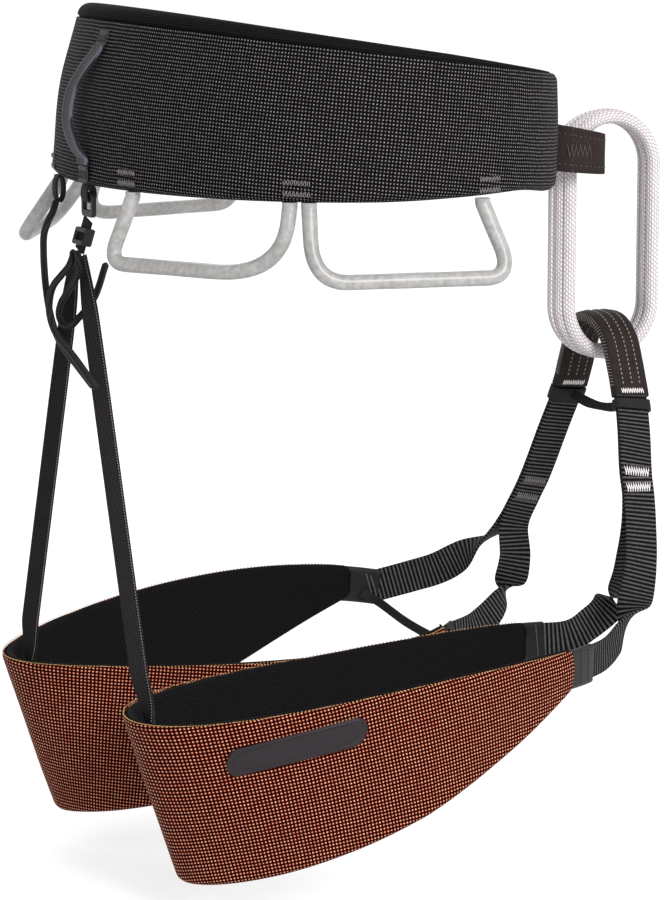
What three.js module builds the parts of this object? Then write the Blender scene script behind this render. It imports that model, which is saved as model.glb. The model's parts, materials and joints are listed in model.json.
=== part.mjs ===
// Climbing harness with a padded waist belt, two padded leg loops, a belay loop,
// four moulded gear loops and a rear suspension.
// Millimetres. +X is the wearer's front, +Y the wearer's left, +Z is up.
// The origin is the centre of the waist opening.
import * as THREE from 'three';

// ---------- driving dimensions ----------
const GAP = 0.3; // between pieces that touch

// waist belt, size M: the outside follows a half ellipse in front and a deeper one behind
const WAIST_FRONT = 100;
const WAIST_BACK = 110;
const WAIST_SIDE = 138;
const BELT_BOTTOM = -31;
const BELT_TOP_MEAN = 27.5;
const BELT_TOP_RISE = 13; // the top edge is this much higher at the back than at the hips
const BELT_WAISTLINE = -5; // a row of points common to the belt's layers
const BELT_FLARE = 6.8; // how far the lower back edge stands out over the hips
const FLARE_REACH = 33; // at this distance below the middle
const BELT_RIGHT_END = -14; // degrees round from the front
const BELT_LEFT_END = 27;
const TOP_CORNER = 20;
const BOTTOM_CORNER = 10;
const SHELL = 1.2; // fabric thickness
const LINING = 1.2;
const BELT_FOAM = 3;
const WEBBING = 2.2;
const BELT_WEBBING_HEIGHT = 22;
const WEBBING_MID = -22; // height of the middle of the waist webbing in front
const LINING_PROUD = 3.3;

// waist tie-in ring, seen from above: a flat-sided loop round the belay loop
const RING_REAR_X = 113;
const RING_FRONT_X = 143.5;
const RING_HALF_WIDTH = 20;
const RING_WEB = 3;
const RING_TOP = -11;
const RING_BOTTOM = -33;
const RING_DROP = 6.3; // the front of the ring hangs lower than the rear
const RING_NARROWING = 3.3; // and is narrower
const COVER_WALL = 0.9;

// belay loop
const BELAY_CENTRE = new THREE.Vector3(152.3, 0, -66.2);
const BELAY_WIDTH = 15;
const BELAY_THICK = 7;
const BELAY_RADIUS = 23.3; // of its middle line at each end
const BELAY_HALF_HEIGHT = 56;

// leg loops
const LEG_CENTRE_Y = 68;
const LEG_LENGTH = 118; // half of the opening, front to back
const LEG_WIDTH = 60; // half of the opening, side to side
const LEG_OUTER_END = 46; // degrees from the front, on the outside of the thigh
const LEG_INNER_END = 326;
const LEG_BACK_TOP = -258;
const LEG_BACK_BOTTOM = -335;
const LEG_OUTER_RISE = 22; // the top edge rises this much from back to front
const LEG_OUTER_BOTTOM_RISE = 100; // the lower edge rises far more
const LEG_INNER_BOTTOM_RISE = 72;
const LEG_BOTTOM_POWER = 1.7;
const LEG_TAPER = 0.33; // the back leans in towards the lower edge
const LEG_FOAM = 3;
const OUTER_TAB_ARC = 9; // degrees of leg loop covered by each end tab
const INNER_TAB_ARC = 6;
const TAB_THICK = 3;
const TAB_HEIGHT = 18;

// leg webbing, two layers sewn together above the split
const LEG_WEB_WIDTH = 16;
const LEG_WEB_THICK = 1.6;

// gear loops
const GEAR_TUBE = 6.6;
const GEAR_TOP = BELT_BOTTOM - 2.2;

// rear suspension
const STRAP_WIDTH = 8;
const STRAP_THICK = 1.2;
const ELASTIC_WIDTH = 4.5;
const ELASTIC_CORD = 3.2; // diameter of the free cord

const COLOURS = {
  mesh: 0x2b282c, lining: 0x141316, foam: 0x3c3c40, webbing: 0x222025, cover: 0x2e2723,
  metal: 0xa6a8ab, belay: 0xd9d3d6, navy: 0x23222c, grey: 0xa9a6a2, rust: 0x7a3419,
  plastic: 0x17161a, patch: 0x26262c,
};

const { degToRad } = THREE.MathUtils;
const mix = THREE.MathUtils.lerp;
const vec = (x, y, z) => new THREE.Vector3(x, y, z);

// ---------- solids ----------
function solidFrom(positions, faces) {
  let volume = 0;
  for (const [a, b, c] of faces) {
    volume += positions[a].dot(vec(0, 0, 0).crossVectors(positions[b], positions[c]));
  }
  const outward = volume > 0 ? faces : faces.map(([a, b, c]) => [a, c, b]);
  const geometry = new THREE.BufferGeometry();
  const coordinates = positions.flatMap((point) => point.toArray());
  geometry.setAttribute('position', new THREE.Float32BufferAttribute(coordinates, 3));
  geometry.setIndex(outward.flat());
  return geometry;
}

// the faces between neighbouring rings; each quad is split along its shorter diagonal,
// so that the facing sides of two parallel layers are split alike
function skinFaces(rings, closed, first = 0, flip = false) {
  const faces = [];
  const count = rings[0].length;
  const spans = closed ? rings.length : rings.length - 1;
  for (let i = 0; i < spans; i += 1) {
    const next = (i + 1) % rings.length;
    for (let j = 0; j < count; j += 1) {
      const k = (j + 1) % count;
      const a = first + i * count + j;
      const b = first + i * count + k;
      const c = first + next * count + k;
      const d = first + next * count + j;
      const straight = rings[i][j].distanceTo(rings[next][k]) <= rings[i][k].distanceTo(rings[next][j]);
      const pair = straight ? [[a, b, c], [a, c, d]] : [[a, b, d], [b, c, d]];
      faces.push(...(flip ? pair.map(([p, q, r]) => [p, r, q]) : pair));
    }
  }
  return faces;
}

// a solid through a row of convex rings, with flat ends or joined to itself
function loft(rings, closed = false) {
  const count = rings[0].length;
  const faces = skinFaces(rings, closed);
  const last = (rings.length - 1) * count;
  for (let j = 1; !closed && j < count - 1; j += 1) {
    faces.push([0, j + 1, j], [last, last + j, last + j + 1]);
  }
  return solidFrom(rings.flat(), faces);
}

// a sleeve between an outer and an inner row of rings, open at both ends
function sleeve(outer, inner) {
  const count = outer[0].length;
  const start = outer.length * count;
  const faces = [
    ...skinFaces(outer, false),
    ...skinFaces(inner, false, start, true),
  ];
  for (const [ring, flip] of [[0, false], [outer.length - 1, true]]) {
    for (let j = 0; j < count; j += 1) {
      const a = ring * count + j;
      const b = ring * count + ((j + 1) % count);
      const quad = flip ? [a, b, start + b, start + a] : [b, a, start + a, start + b];
      faces.push([quad[0], quad[1], quad[2]], [quad[0], quad[2], quad[3]]);
    }
  }
  return solidFrom([...outer.flat(), ...inner.flat()], faces);
}

// points along a smooth curve, with the same number of steps between each two
function smooth(points, steps, from = 0, to = points.length - 1) {
  const curve = new THREE.CatmullRomCurve3(points, false, 'centripetal');
  const samples = [];
  for (let i = from * steps; i <= to * steps; i += 1) {
    samples.push(curve.getPoint(i / (steps * (points.length - 1))));
  }
  return samples;
}

// sections of a strap along a path; across holds the width direction at each point
function strapRings(path, across, width, thick, lift = 0) {
  return path.map((point, i) => {
    const before = path[Math.max(0, i - 1)];
    const after = path[Math.min(path.length - 1, i + 1)];
    const along = after.clone().sub(before).normalize();
    const side = across[i].clone().addScaledVector(along, -across[i].dot(along)).normalize();
    const face = along.clone().cross(side);
    const corner = (w, t) => point.clone()
      .addScaledVector(side, (w * width) / 2)
      .addScaledVector(face, (t * thick) / 2 + lift);
    return [corner(-1, 1), corner(1, 1), corner(1, -1), corner(-1, -1)];
  });
}

function blendDirections(directions, steps) {
  const samples = [];
  for (let i = 0; i <= (directions.length - 1) * steps; i += 1) {
    const low = Math.min(Math.floor(i / steps), directions.length - 2);
    samples.push(directions[low].clone().lerp(directions[low + 1], i / steps - low));
  }
  return samples;
}

function strap(points, directions, width, thick, steps = 4, lift = 0) {
  const path = smooth(points, steps);
  const across = blendDirections(directions, steps);
  return loft(strapRings(path, across, width, thick, lift));
}

// a round tube along a smooth curve
function tube(points, diameter, steps, sides = 8) {
  const section = new THREE.Shape();
  for (let i = 0; i < sides; i += 1) {
    const turn = (2 * Math.PI * i) / sides;
    const [x, y] = [Math.cos(turn) * diameter / 2, Math.sin(turn) * diameter / 2];
    if (i === 0) section.moveTo(x, y);
    else section.lineTo(x, y);
  }
  const extrudePath = new THREE.CatmullRomCurve3(points, false, 'centripetal');
  return new THREE.ExtrudeGeometry(section, { steps, extrudePath, curveSegments: 1 });
}

// a flat plate with holes, its outline in its own X and Y, extruded by its thickness
function plate(outline, holes, thick) {
  const shape = roundedRectangle(new THREE.Shape(), ...outline);
  for (const hole of holes) shape.holes.push(roundedRectangle(new THREE.Path(), ...hole));
  return new THREE.ExtrudeGeometry(shape, { depth: thick, bevelEnabled: false, curveSegments: 3 });
}

function roundedRectangle(path, x, y, width, height, radius) {
  const [left, right, low, high] = [x - width / 2, x + width / 2, y - height / 2, y + height / 2];
  path.moveTo(left + radius, low);
  path.lineTo(right - radius, low);
  path.absarc(right - radius, low + radius, radius, -Math.PI / 2, 0, false);
  path.lineTo(right, high - radius);
  path.absarc(right - radius, high - radius, radius, 0, Math.PI / 2, false);
  path.lineTo(left + radius, high);
  path.absarc(left + radius, high - radius, radius, Math.PI / 2, Math.PI, false);
  path.lineTo(left, low + radius);
  path.absarc(left + radius, low + radius, radius, Math.PI, Math.PI * 1.5, false);
  return path;
}

const group = new THREE.Group();
function add(name, geometry, colour, metalness = 0, roughness = 0.8) {
  const material = new THREE.MeshStandardMaterial({ color: COLOURS[colour], metalness, roughness });
  const mesh = new THREE.Mesh(geometry, material);
  mesh.name = name;
  group.add(mesh);
  return mesh;
}

// ---------- waist belt ----------
// a point of the belt: the angle runs from the front to the wearer's left, outset is from the outer face
function waistPoint(angle, outset, z) {
  const turn = degToRad(angle);
  const [c, s] = [Math.cos(turn), Math.sin(turn)];
  const depth = c > 0 ? WAIST_FRONT : WAIST_BACK;
  const normal = new THREE.Vector2(c / depth, s / WAIST_SIDE).normalize();
  const out = outset + BELT_FLARE * Math.max(0, -c) * (-z / FLARE_REACH);
  return vec(depth * c + normal.x * out, WAIST_SIDE * s + normal.y * out, z);
}

const beltTop = (angle) => BELT_TOP_MEAN - BELT_TOP_RISE * Math.cos(degToRad(angle));

// how far a rounded corner cuts in, at a distance from the end
function cornerCut(distance, radius) {
  const inside = Math.max(0, radius - distance);
  return radius - Math.sqrt(radius * radius - inside * inside);
}

// angles from one end to the other, closer together in the rounded corners
function endSpaced(start, end, steps, cornerAngle) {
  const angles = [];
  for (let i = 0; i < 4; i += 1) angles.push(start + cornerAngle * (1 - Math.cos((i * Math.PI) / 8)));
  for (let i = 0; i <= steps; i += 1) angles.push(mix(start + cornerAngle, end - cornerAngle, i / steps));
  for (let i = 3; i >= 0; i -= 1) angles.push(end - cornerAngle * (1 - Math.cos((i * Math.PI) / 8)));
  return angles;
}

// every belt layer shares these sections, so that the layers stay parallel
const BELT_START = BELT_LEFT_END;
const BELT_END = 360 + BELT_RIGHT_END;
const ARC_PER_DEGREE = 1.9;
const BELT_ANGLES = endSpaced(BELT_START, BELT_END, 30, TOP_CORNER / ARC_PER_DEGREE);

// the section of an upright layer; a waistline gives it one more row of points at that height
function layerRing(place, outset, thick, low, high, waistline) {
  const bevel = thick / 3;
  const middle = waistline === undefined ? [] : [waistline];
  return [
    place(outset, low + bevel), ...middle.map((z) => place(outset, z)), place(outset, high - bevel),
    place(outset - thick / 2, high),
    place(outset - thick, high - bevel), ...middle.map((z) => place(outset - thick, z)),
    place(outset - thick, low + bevel), place(outset - thick / 2, low),
  ];
}

function beltLayer(outset, thick, margin, proud = 0) {
  const angles = margin > 0 ? BELT_ANGLES.slice(1, -1) : BELT_ANGLES;
  return loft(angles.map((angle) => {
    const distance = Math.min(angle - BELT_START, BELT_END - angle) * ARC_PER_DEGREE;
    const rise = proud * (1 - Math.cos(degToRad(angle)));
    const high = beltTop(angle) + rise - margin - cornerCut(distance, TOP_CORNER);
    const low = BELT_BOTTOM + margin + cornerCut(distance, BOTTOM_CORNER);
    return layerRing((out, z) => waistPoint(angle, out, z), outset, thick, low, high);
  }));
}

const WEBBING_ROOM = 0.6; // the narrow webbing needs more room than layers of one height
const shellInner = -SHELL - WEBBING_ROOM;
const foamOuter = shellInner - WEBBING - WEBBING_ROOM;
const liningOuter = foamOuter - BELT_FOAM - GAP;

// the load-bearing webbing inside the belt sits low in front and higher behind
function webbingHeights(angle) {
  const low = WEBBING_MID + 18 * Math.sin(degToRad(angle / 2)) ** 2 - BELT_WEBBING_HEIGHT / 2;
  return [low, low + BELT_WEBBING_HEIGHT];
}

const WEBBING_START = BELT_START + 20; // degrees: left of here the waist strap takes its place
const WEBBING_END = BELT_END - 4;
function beltWebbing() {
  const angles = BELT_ANGLES.filter((angle) => angle > WEBBING_START && angle < WEBBING_END);
  return loft(angles.map((angle) => {
    const place = (out, z) => waistPoint(angle, out, z);
    return layerRing(place, shellInner, WEBBING, ...webbingHeights(angle));
  }));
}

add('belt_shell', beltLayer(0, SHELL, 0), 'mesh');
add('belt_webbing', beltWebbing(), 'webbing');
add('belt_foam', beltLayer(foamOuter, BELT_FOAM, 1.5), 'foam');
add('belt_lining', beltLayer(liningOuter, LINING, 0, LINING_PROUD), 'lining');

// ---------- front webbing, tie-in ring, buckle ----------
// sections of an upright strip along a path seen from above
function uprightRings(path, thick, heights, closed = false) {
  return path.map(([x, y], i) => {
    const count = path.length;
    const [bx, by] = closed ? path[(i + count - 1) % count] : path[Math.max(0, i - 1)];
    const [ax, ay] = closed ? path[(i + 1) % count] : path[Math.min(count - 1, i + 1)];
    const normal = new THREE.Vector2(ay - by, bx - ax).normalize();
    const [low, high] = heights(x, y);
    const place = (out, z) => vec(x + normal.x * out, y + normal.y * out, z);
    return layerRing(place, thick / 2, thick, low, high);
  });
}

// the tie-in ring's path seen from above: a loop with flattened sides, moved out by outset
const RING_STEPS = 28;
function ringPath(outset) {
  const reach = (RING_FRONT_X - RING_REAR_X) / 2;
  const flatten = (value) => Math.sign(value) * Math.abs(value) ** 0.77;
  const base = [];
  for (let i = 0; i < RING_STEPS; i += 1) {
    const turn = (2 * Math.PI * i) / RING_STEPS;
    const x = RING_REAR_X + reach + reach * flatten(Math.cos(turn));
    base.push(new THREE.Vector2(x, RING_HALF_WIDTH * flatten(Math.sin(turn))));
  }
  return base.map((point, i) => {
    const after = base[(i + 1) % RING_STEPS];
    const before = base[(i + RING_STEPS - 1) % RING_STEPS];
    const normal = new THREE.Vector2(after.y - before.y, before.x - after.x).normalize();
    return point.clone().addScaledVector(normal, outset).toArray();
  });
}

function ringHeights(x) {
  const forward = (x - RING_REAR_X) / (RING_FRONT_X - RING_REAR_X);
  return [RING_BOTTOM - (RING_DROP - RING_NARROWING) * forward, RING_TOP - RING_DROP * forward];
}

add('tie_in_ring', loft(uprightRings(ringPath(0), RING_WEB, ringHeights, true), true), 'webbing');

// the cover wraps the front and the sides of the ring, outside it
function tieInCover() {
  const path = ringPath(RING_WEB / 2 + GAP + COVER_WALL / 2);
  const reach = 11; // steps of the ring covered on each side of its front
  const covered = [...path.slice(-reach), ...path.slice(0, reach + 1)];
  return loft(uprightRings(covered, COVER_WALL, ringHeights));
}
add('tie_in_cover', tieInCover(), 'cover');

// ---------- belay loop ----------
function belayLoop() {
  const path = [];
  const straight = BELAY_HALF_HEIGHT - BELAY_RADIUS;
  const { x, z } = BELAY_CENTRE;
  for (const [up, first] of [[1, 0], [-1, 180]]) {
    for (let i = 0; i <= 9; i += 1) {
      const turn = degToRad(first + 20 * i);
      path.push(vec(x + BELAY_RADIUS * Math.cos(turn), 0, z + up * straight + BELAY_RADIUS * Math.sin(turn)));
    }
  }
  const closedPath = path.map((point, i) => {
    const before = path[(i + path.length - 1) % path.length];
    const after = path[(i + 1) % path.length];
    return { point, along: after.clone().sub(before).normalize() };
  });
  const [half, rise, bevel] = [BELAY_WIDTH / 2, BELAY_THICK / 2, 2.2];
  const rings = closedPath.map(({ point, along }) => {
    const face = along.clone().cross(vec(0, 1, 0));
    const corner = (w, t) => point.clone().addScaledVector(vec(0, 1, 0), w).addScaledVector(face, t);
    return [
      corner(-half, -rise + bevel), corner(-half, rise - bevel), corner(-half + bevel, rise),
      corner(half - bevel, rise), corner(half, rise - bevel), corner(half, -rise + bevel),
      corner(half - bevel, -rise), corner(-half + bevel, -rise),
    ];
  });
  return loft(rings, true);
}
add('belay_loop', belayLoop(), 'belay');

// ---------- leg loops ----------
// the two leg loops hang a little differently: the left one lies further back and lower inside
const LEGS = {
  right: { side: -1, centreX: -4, innerRise: 16 },
  left: { side: 1, centreX: -10, innerRise: -5 },
};

// a point of a leg loop: the angle runs from the front round the outside of the thigh
function legPoint(leg, angle, outset, z) {
  const turn = degToRad(angle);
  const [c, s] = [Math.cos(turn), Math.sin(turn)];
  const normal = new THREE.Vector2(c / LEG_LENGTH, s / LEG_WIDTH).normalize();
  const out = outset - LEG_TAPER * (legTop(leg, angle) - z) * Math.max(0, -c);
  const x = leg.centreX + LEG_LENGTH * c + normal.x * out;
  const y = LEG_CENTRE_Y + LEG_WIDTH * s + normal.y * out;
  return vec(x, leg.side * y, z);
}

// 0 at the back of a leg loop, 1 near its front ends
const forwardness = (angle) => 0.53 * (1 + Math.cos(degToRad(angle)));
// 1 on the outside of the thigh, 0 on the inside
const outerness = (angle) => (1 + Math.sin(degToRad(angle))) / 2;

function legTop(leg, angle) {
  const f = forwardness(angle);
  const outer = LEG_OUTER_RISE * Math.sin((f * Math.PI) / 2);
  return LEG_BACK_TOP + mix(leg.innerRise * f * f, outer, outerness(angle));
}

function legBottom(angle) {
  const rise = mix(LEG_INNER_BOTTOM_RISE, LEG_OUTER_BOTTOM_RISE, outerness(angle));
  return LEG_BACK_BOTTOM + rise * forwardness(angle) ** LEG_BOTTOM_POWER;
}

const LEG_ANGLES = endSpaced(LEG_OUTER_END, LEG_INNER_END, 24, 3);

function legLayer(leg, outset, thick, margin) {
  const angles = margin > 0 ? LEG_ANGLES.slice(1, -1) : LEG_ANGLES;
  return loft(angles.map((angle) => {
    const place = (out, z) => legPoint(leg, angle, out, z);
    return layerRing(place, outset, thick, legBottom(angle) + margin, legTop(leg, angle) - margin);
  }));
}

// the tab that joins a leg loop's end to the webbing
function legTab(leg, from, to) {
  const rings = [];
  for (let i = 0; i <= 4; i += 1) {
    const angle = mix(from, to, i / 4);
    const high = legTop(leg, angle) - 0.5;
    const place = (out, z) => legPoint(leg, angle, out, z);
    rings.push(layerRing(place, -0.6, TAB_THICK, high - TAB_HEIGHT, high));
  }
  return loft(rings);
}

// the middle of a tab's free end, moved on by beyond degrees
function tabEnd(leg, angle, beyond) {
  return legPoint(leg, angle + beyond, -0.6 - TAB_THICK / 2, legTop(leg, angle) - 0.5 - TAB_HEIGHT / 2);
}
const OUTER_TAB_END = LEG_OUTER_END - GAP - OUTER_TAB_ARC;
const INNER_TAB_END = LEG_INNER_END + GAP + INNER_TAB_ARC;

// the thin elastic that keeps a leg loop's two ends together
function legElastic({ side, centreX }) {
  const points = [[89, 98, -256], [93, 70, -262.5], [97, 47, -266]];
  const path = points.map(([x, y, z]) => vec(centreX + x, side * y, z));
  return strap(path, path.map(() => vec(0.3, 0, 1)), ELASTIC_WIDTH, STRAP_THICK);
}

for (const [name, leg] of Object.entries(LEGS)) {
  const foam = -SHELL - GAP;
  add(`leg_shell_${name}`, legLayer(leg, 0, SHELL, 0), 'rust');
  add(`leg_foam_${name}`, legLayer(leg, foam, LEG_FOAM, 1.5), 'foam');
  add(`leg_lining_${name}`, legLayer(leg, foam - LEG_FOAM - GAP, LINING, 0), 'lining');
  add(`leg_tab_outer_${name}`, legTab(leg, LEG_OUTER_END - GAP, OUTER_TAB_END), 'plastic');
  add(`leg_tab_inner_${name}`, legTab(leg, LEG_INNER_END + GAP, INNER_TAB_END), 'plastic');
  add(`leg_elastic_${name}`, legElastic(leg), 'webbing');
}

// a blank rubber patch on the outside of the right thigh, rising towards the front
function thighPatch() {
  const [middle, reach, corner] = [121.5, 17, 3.2]; // degrees
  const [height, middleZ, slope] = [13, -266.2, 0.44];
  const rings = [];
  for (let i = 0; i <= 12; i += 1) {
    const offset = -reach * Math.cos((Math.PI * i) / 12);
    const into = Math.max(0, Math.abs(offset) - (reach - corner)) / corner;
    const half = Math.max(1.2, (height / 2) * Math.sqrt(Math.max(0, 1 - into * into)));
    const place = (out, z) => legPoint(LEGS.right, middle + offset, out, z);
    const centre = middleZ - slope * offset;
    rings.push(layerRing(place, 2.4 * GAP + 1.5, 1.5, centre - half, centre + half));
  }
  return loft(rings);
}
add('thigh_patch', thighPatch(), 'patch');

// ---------- leg bridge: two layers of webbing over the belay loop ----------
const ACROSS = vec(1, 0, 0);
const ARCH = [vec(150.3, -10, -107.5), vec(150, 0, -105.5), vec(150.3, 10, -107.5)];
const RIGHT_RISER = [
  vec(141.5, -53.5, -183), vec(142.5, -49, -172.5), vec(148, -37, -154),
  vec(150.6, -29, -140), vec(151, -22.5, -125), vec(150.8, -17.5, -114.5),
];
const LEFT_RISER = [
  vec(150.8, 17.5, -114.5), vec(151, 22.5, -125), vec(150.2, 29, -142), vec(146.5, 38, -164),
  vec(141.5, 48, -190.5), vec(138.5, 53, -202),
];
const RISERS = [...RIGHT_RISER, ...ARCH, ...LEFT_RISER];
const COVER_FROM = 3; // the cover runs between these riser points
const COVER_TO = 11;
const COVER_ROOM = 0.4; // on each side of the webbing

const RIGHT_OUTER = [
  tabEnd(LEGS.right, OUTER_TAB_END, -0.7), vec(103, -94.5, -245.5), vec(113, -88, -241),
  vec(121.5, -81, -235.5), vec(129, -74, -226), vec(135.5, -66.5, -211), vec(139.5, -58.6, -194),
];
const RIGHT_INNER = [
  tabEnd(LEGS.right, INNER_TAB_END, 0.7), vec(110, -44.5, -248.5), vec(120, -45, -243.5), vec(130, -46, -236),
  vec(137.5, -48.5, -224), vec(139.6, -52.5, -209), vec(139.7, -56.2, -194),
];
const LEFT_OUTER = [
  vec(134.4, 60, -215), vec(128, 71, -225), vec(119.5, 80.5, -233.5), vec(109, 88, -240.5),
  vec(97.5, 95.3, -245), tabEnd(LEGS.left, OUTER_TAB_END, -2.6),
];
const LEFT_INNER = [
  vec(134.8, 57, -215.5), vec(133.5, 53, -231), vec(128, 49, -245), vec(118.5, 46, -255.5),
  vec(108, 44.5, -262), tabEnd(LEGS.left, INNER_TAB_END, 1),
];
const UPRIGHT = vec(0.1, 0, 1);
const TURNING = vec(0.9, 0, 0.45);
const FOLDED = vec(0.5, 0, 0.87);

function legWebbing(rightEnd, leftEnd, lift) {
  const points = [...rightEnd, ...RISERS, ...leftEnd];
  const directions = points.map(() => ACROSS);
  const ends = [UPRIGHT, UPRIGHT, UPRIGHT, FOLDED, TURNING];
  ends.forEach((direction, i) => {
    directions[i] = direction;
    directions[points.length - 1 - i] = direction;
  });
  return strap(points, directions, LEG_WEB_WIDTH, LEG_WEB_THICK, 2, lift);
}

const layerLift = (LEG_WEB_THICK + GAP) / 2;
add('bridge_outer_webbing', legWebbing(RIGHT_OUTER, LEFT_OUTER, -layerLift), 'webbing');
add('bridge_inner_webbing', legWebbing(RIGHT_INNER, LEFT_INNER, layerLift), 'webbing');

// a tube of fabric round a stretch of the risers
function riserSleeve(from, to, steps, wall, clearance) {
  const path = smooth(RISERS, steps, from, to);
  const across = path.map(() => ACROSS);
  const width = LEG_WEB_WIDTH + 2 * clearance;
  const thick = 2 * LEG_WEB_THICK + GAP + 2 * clearance;
  const inner = strapRings(path, across, width, thick);
  const outer = strapRings(path, across, width + 2 * wall, thick + 2 * wall);
  return sleeve(outer, inner);
}
add('bridge_cover', riserSleeve(COVER_FROM, COVER_TO, 2, COVER_WALL, COVER_ROOM), 'cover');

// elastic bands that hold the two risers together below the cover
const BAND_WALL = 1;
const BAND_ROOM = 0.4; // on each side of the webbing
function riserBand(point, shift) {
  const path = smooth(RISERS, 8, point - 1, point + 1).slice(6 + shift, 9 + shift);
  const across = path.map(() => ACROSS);
  const width = LEG_WEB_WIDTH + 2 * BAND_ROOM;
  const thick = 2 * LEG_WEB_THICK + GAP + 2 * BAND_ROOM;
  const outer = strapRings(path, across, width + 2 * BAND_WALL, thick + 2 * BAND_WALL);
  return sleeve(outer, strapRings(path, across, width, thick));
}
add('riser_band_right', riserBand(COVER_FROM, -1), 'webbing');
add('riser_band_left', riserBand(COVER_TO, 3), 'webbing');
add('riser_link', strap(
  [vec(150, -25.6, -144), vec(150, -12, -147.5), vec(150, 8, -148.5), vec(150, 25.6, -146.5)],
  [vec(0.2, 0, 1), vec(0.6, 0, 1), vec(0.6, 0, 1), vec(0.2, 0, 1)],
  ELASTIC_WIDTH, STRAP_THICK,
), 'webbing');

// ---------- gear loops ----------
// the tube hangs from two points of the belt's lower edge: outward is its swing from upright
// in degrees, depth its drop, lean is how far the free corner stands beyond the sewn end, sharp is that
// corner's radius and round holds the width and height of the other corner
function gearLoop(from, to, { outward, depth, lean, sharp, round }) {
  const inset = -SHELL - GEAR_TUBE / 2;
  const start = waistPoint(from, inset, GEAR_TOP);
  const end = waistPoint(to, inset, GEAR_TOP);
  const chord = end.clone().sub(start);
  const span = chord.length();
  const along = chord.normalize();
  const middle = (from + to) / 2;
  const away = waistPoint(middle, 1, GEAR_TOP).sub(waistPoint(middle, 0, GEAR_TOP));
  away.addScaledVector(along, -away.dot(along)).normalize();
  const tilt = degToRad(outward);
  const down = vec(0, 0, -Math.cos(tilt)).addScaledVector(away, Math.sin(tilt));
  const outline = new THREE.Path();
  outline.moveTo(0, 0);
  outline.lineTo(-lean * 0.75, depth - sharp * 1.2);
  outline.quadraticCurveTo(-lean * 1.1, depth, sharp - lean, depth);
  outline.lineTo(span - round[0], depth);
  outline.quadraticCurveTo(span, depth, span, depth - round[1]);
  outline.lineTo(span, 0);
  const points = outline.getSpacedPoints(20).map((p) => start.clone()
    .addScaledVector(along, p.x)
    .addScaledVector(down, p.y));
  return tube(points, GEAR_TUBE, 24);
}

const REAR_LOOP = { outward: 12, depth: 29.5, lean: 8, sharp: 8, round: [34, 24] };
const FRONT_LOOP = { outward: 12, depth: 32, lean: 10, sharp: 10, round: [16, 18] };
const LEFT_SWING = 33; // the left loops have sprung further out
const GEAR_REAR = 162; // degrees round the belt of the loops' sewn ends
const GEAR_MIDDLE = 123.5;
const GEAR_BETWEEN = 4; // from the rear loop's end to the front loop's
const GEAR_FRONT = 79;
for (const [name, side, swing] of [['right', -1, {}], ['left', 1, { outward: LEFT_SWING }]]) {
  const [behind, ahead] = [GEAR_MIDDLE + GEAR_BETWEEN / 2, GEAR_MIDDLE - GEAR_BETWEEN / 2];
  const rear = gearLoop(side * GEAR_REAR, side * behind, { ...REAR_LOOP, ...swing });
  const front = gearLoop(side * GEAR_FRONT, side * ahead, { ...FRONT_LOOP, ...swing });
  add(`gear_loop_rear_${name}`, rear, 'grey', 0, 0.45);
  add(`gear_loop_front_${name}`, front, 'grey', 0, 0.45);
}

// sewn tabs over the ends of the gear loops
const GEAR_TAB_REACH = 2.6; // degrees to each side
const GEAR_TAB_THICK = 0.8;
const GEAR_TAB_HEIGHTS = [BELT_BOTTOM + 1.5, BELT_BOTTOM + 10];
function gearTab(middle) {
  const rings = [-1, 0, 1].map((side) => {
    const place = (out, z) => waistPoint(middle + GEAR_TAB_REACH * side, out, z);
    return layerRing(place, GAP + GEAR_TAB_THICK, GEAR_TAB_THICK, ...GEAR_TAB_HEIGHTS);
  });
  return loft(rings);
}
const TAB_ANGLES = { rear: GEAR_REAR, middle: GEAR_MIDDLE, front: GEAR_FRONT };
for (const [place, angle] of Object.entries(TAB_ANGLES)) {
  add(`gear_tab_${place}_right`, gearTab(-angle), 'mesh');
  add(`gear_tab_${place}_left`, gearTab(angle), 'mesh');
}

// ---------- haul loop ----------
const HAUL_WIDTH = 9.5;
const HAUL_OUT = 3.2; // the moving part starts this far off the shell, so that it can swing
const LEFTWARDS = vec(0, 1, 0);
function backTape(stations, width, thick, steps) {
  const points = stations.map(([angle, outset, z]) => waistPoint(angle, outset, z));
  return strap(points, points.map(() => LEFTWARDS), width, thick, steps);
}
add('haul_anchor_top', backTape([[182, 0.9, 36.5], [182, 0.9, 29.4]], HAUL_WIDTH, 1, 1), 'navy');
add('haul_anchor_bottom', backTape([[184, 0.9, -22.6], [184, 0.9, -29.5]], HAUL_WIDTH, 1, 1), 'navy');
add('haul_loop', backTape([
  [182, HAUL_OUT, 28.2], [180.5, 6.5, 20], [178.5, 8.5, 9], [179.5, 8.5, -4], [182.5, 6, -14],
  [184, HAUL_OUT, -19.2],
], HAUL_WIDTH, STRAP_THICK, 3), 'navy');

// ---------- rear suspension ----------
const RING_CENTRE_Z = -35.6; // of the small loops that hang from the belt's lower back edge
const RING_RADIUS = 2.9;
function smallRing(x, y, width) {
  const rings = [];
  for (let i = 0; i < 12; i += 1) {
    const turn = (2 * Math.PI * i) / 12;
    const corner = (radius, across) => vec(
      x + radius * Math.cos(turn), y + across, RING_CENTRE_Z + radius * Math.sin(turn));
    const [low, high] = [RING_RADIUS - 0.5, RING_RADIUS + 0.5];
    const half = width / 2;
    rings.push([corner(low, -half), corner(high, -half), corner(high, half), corner(low, half)]);
  }
  return loft(rings, true);
}

const HOOK_X = -112.5;
const HOOK_Y = -6;
const TETHER_Y = 34;
const TETHER_X = -111;
add('hook_ring', smallRing(HOOK_X, HOOK_Y, 7.5), 'webbing');
add('tether_ring', smallRing(TETHER_X, TETHER_Y, 5), 'webbing');

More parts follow.
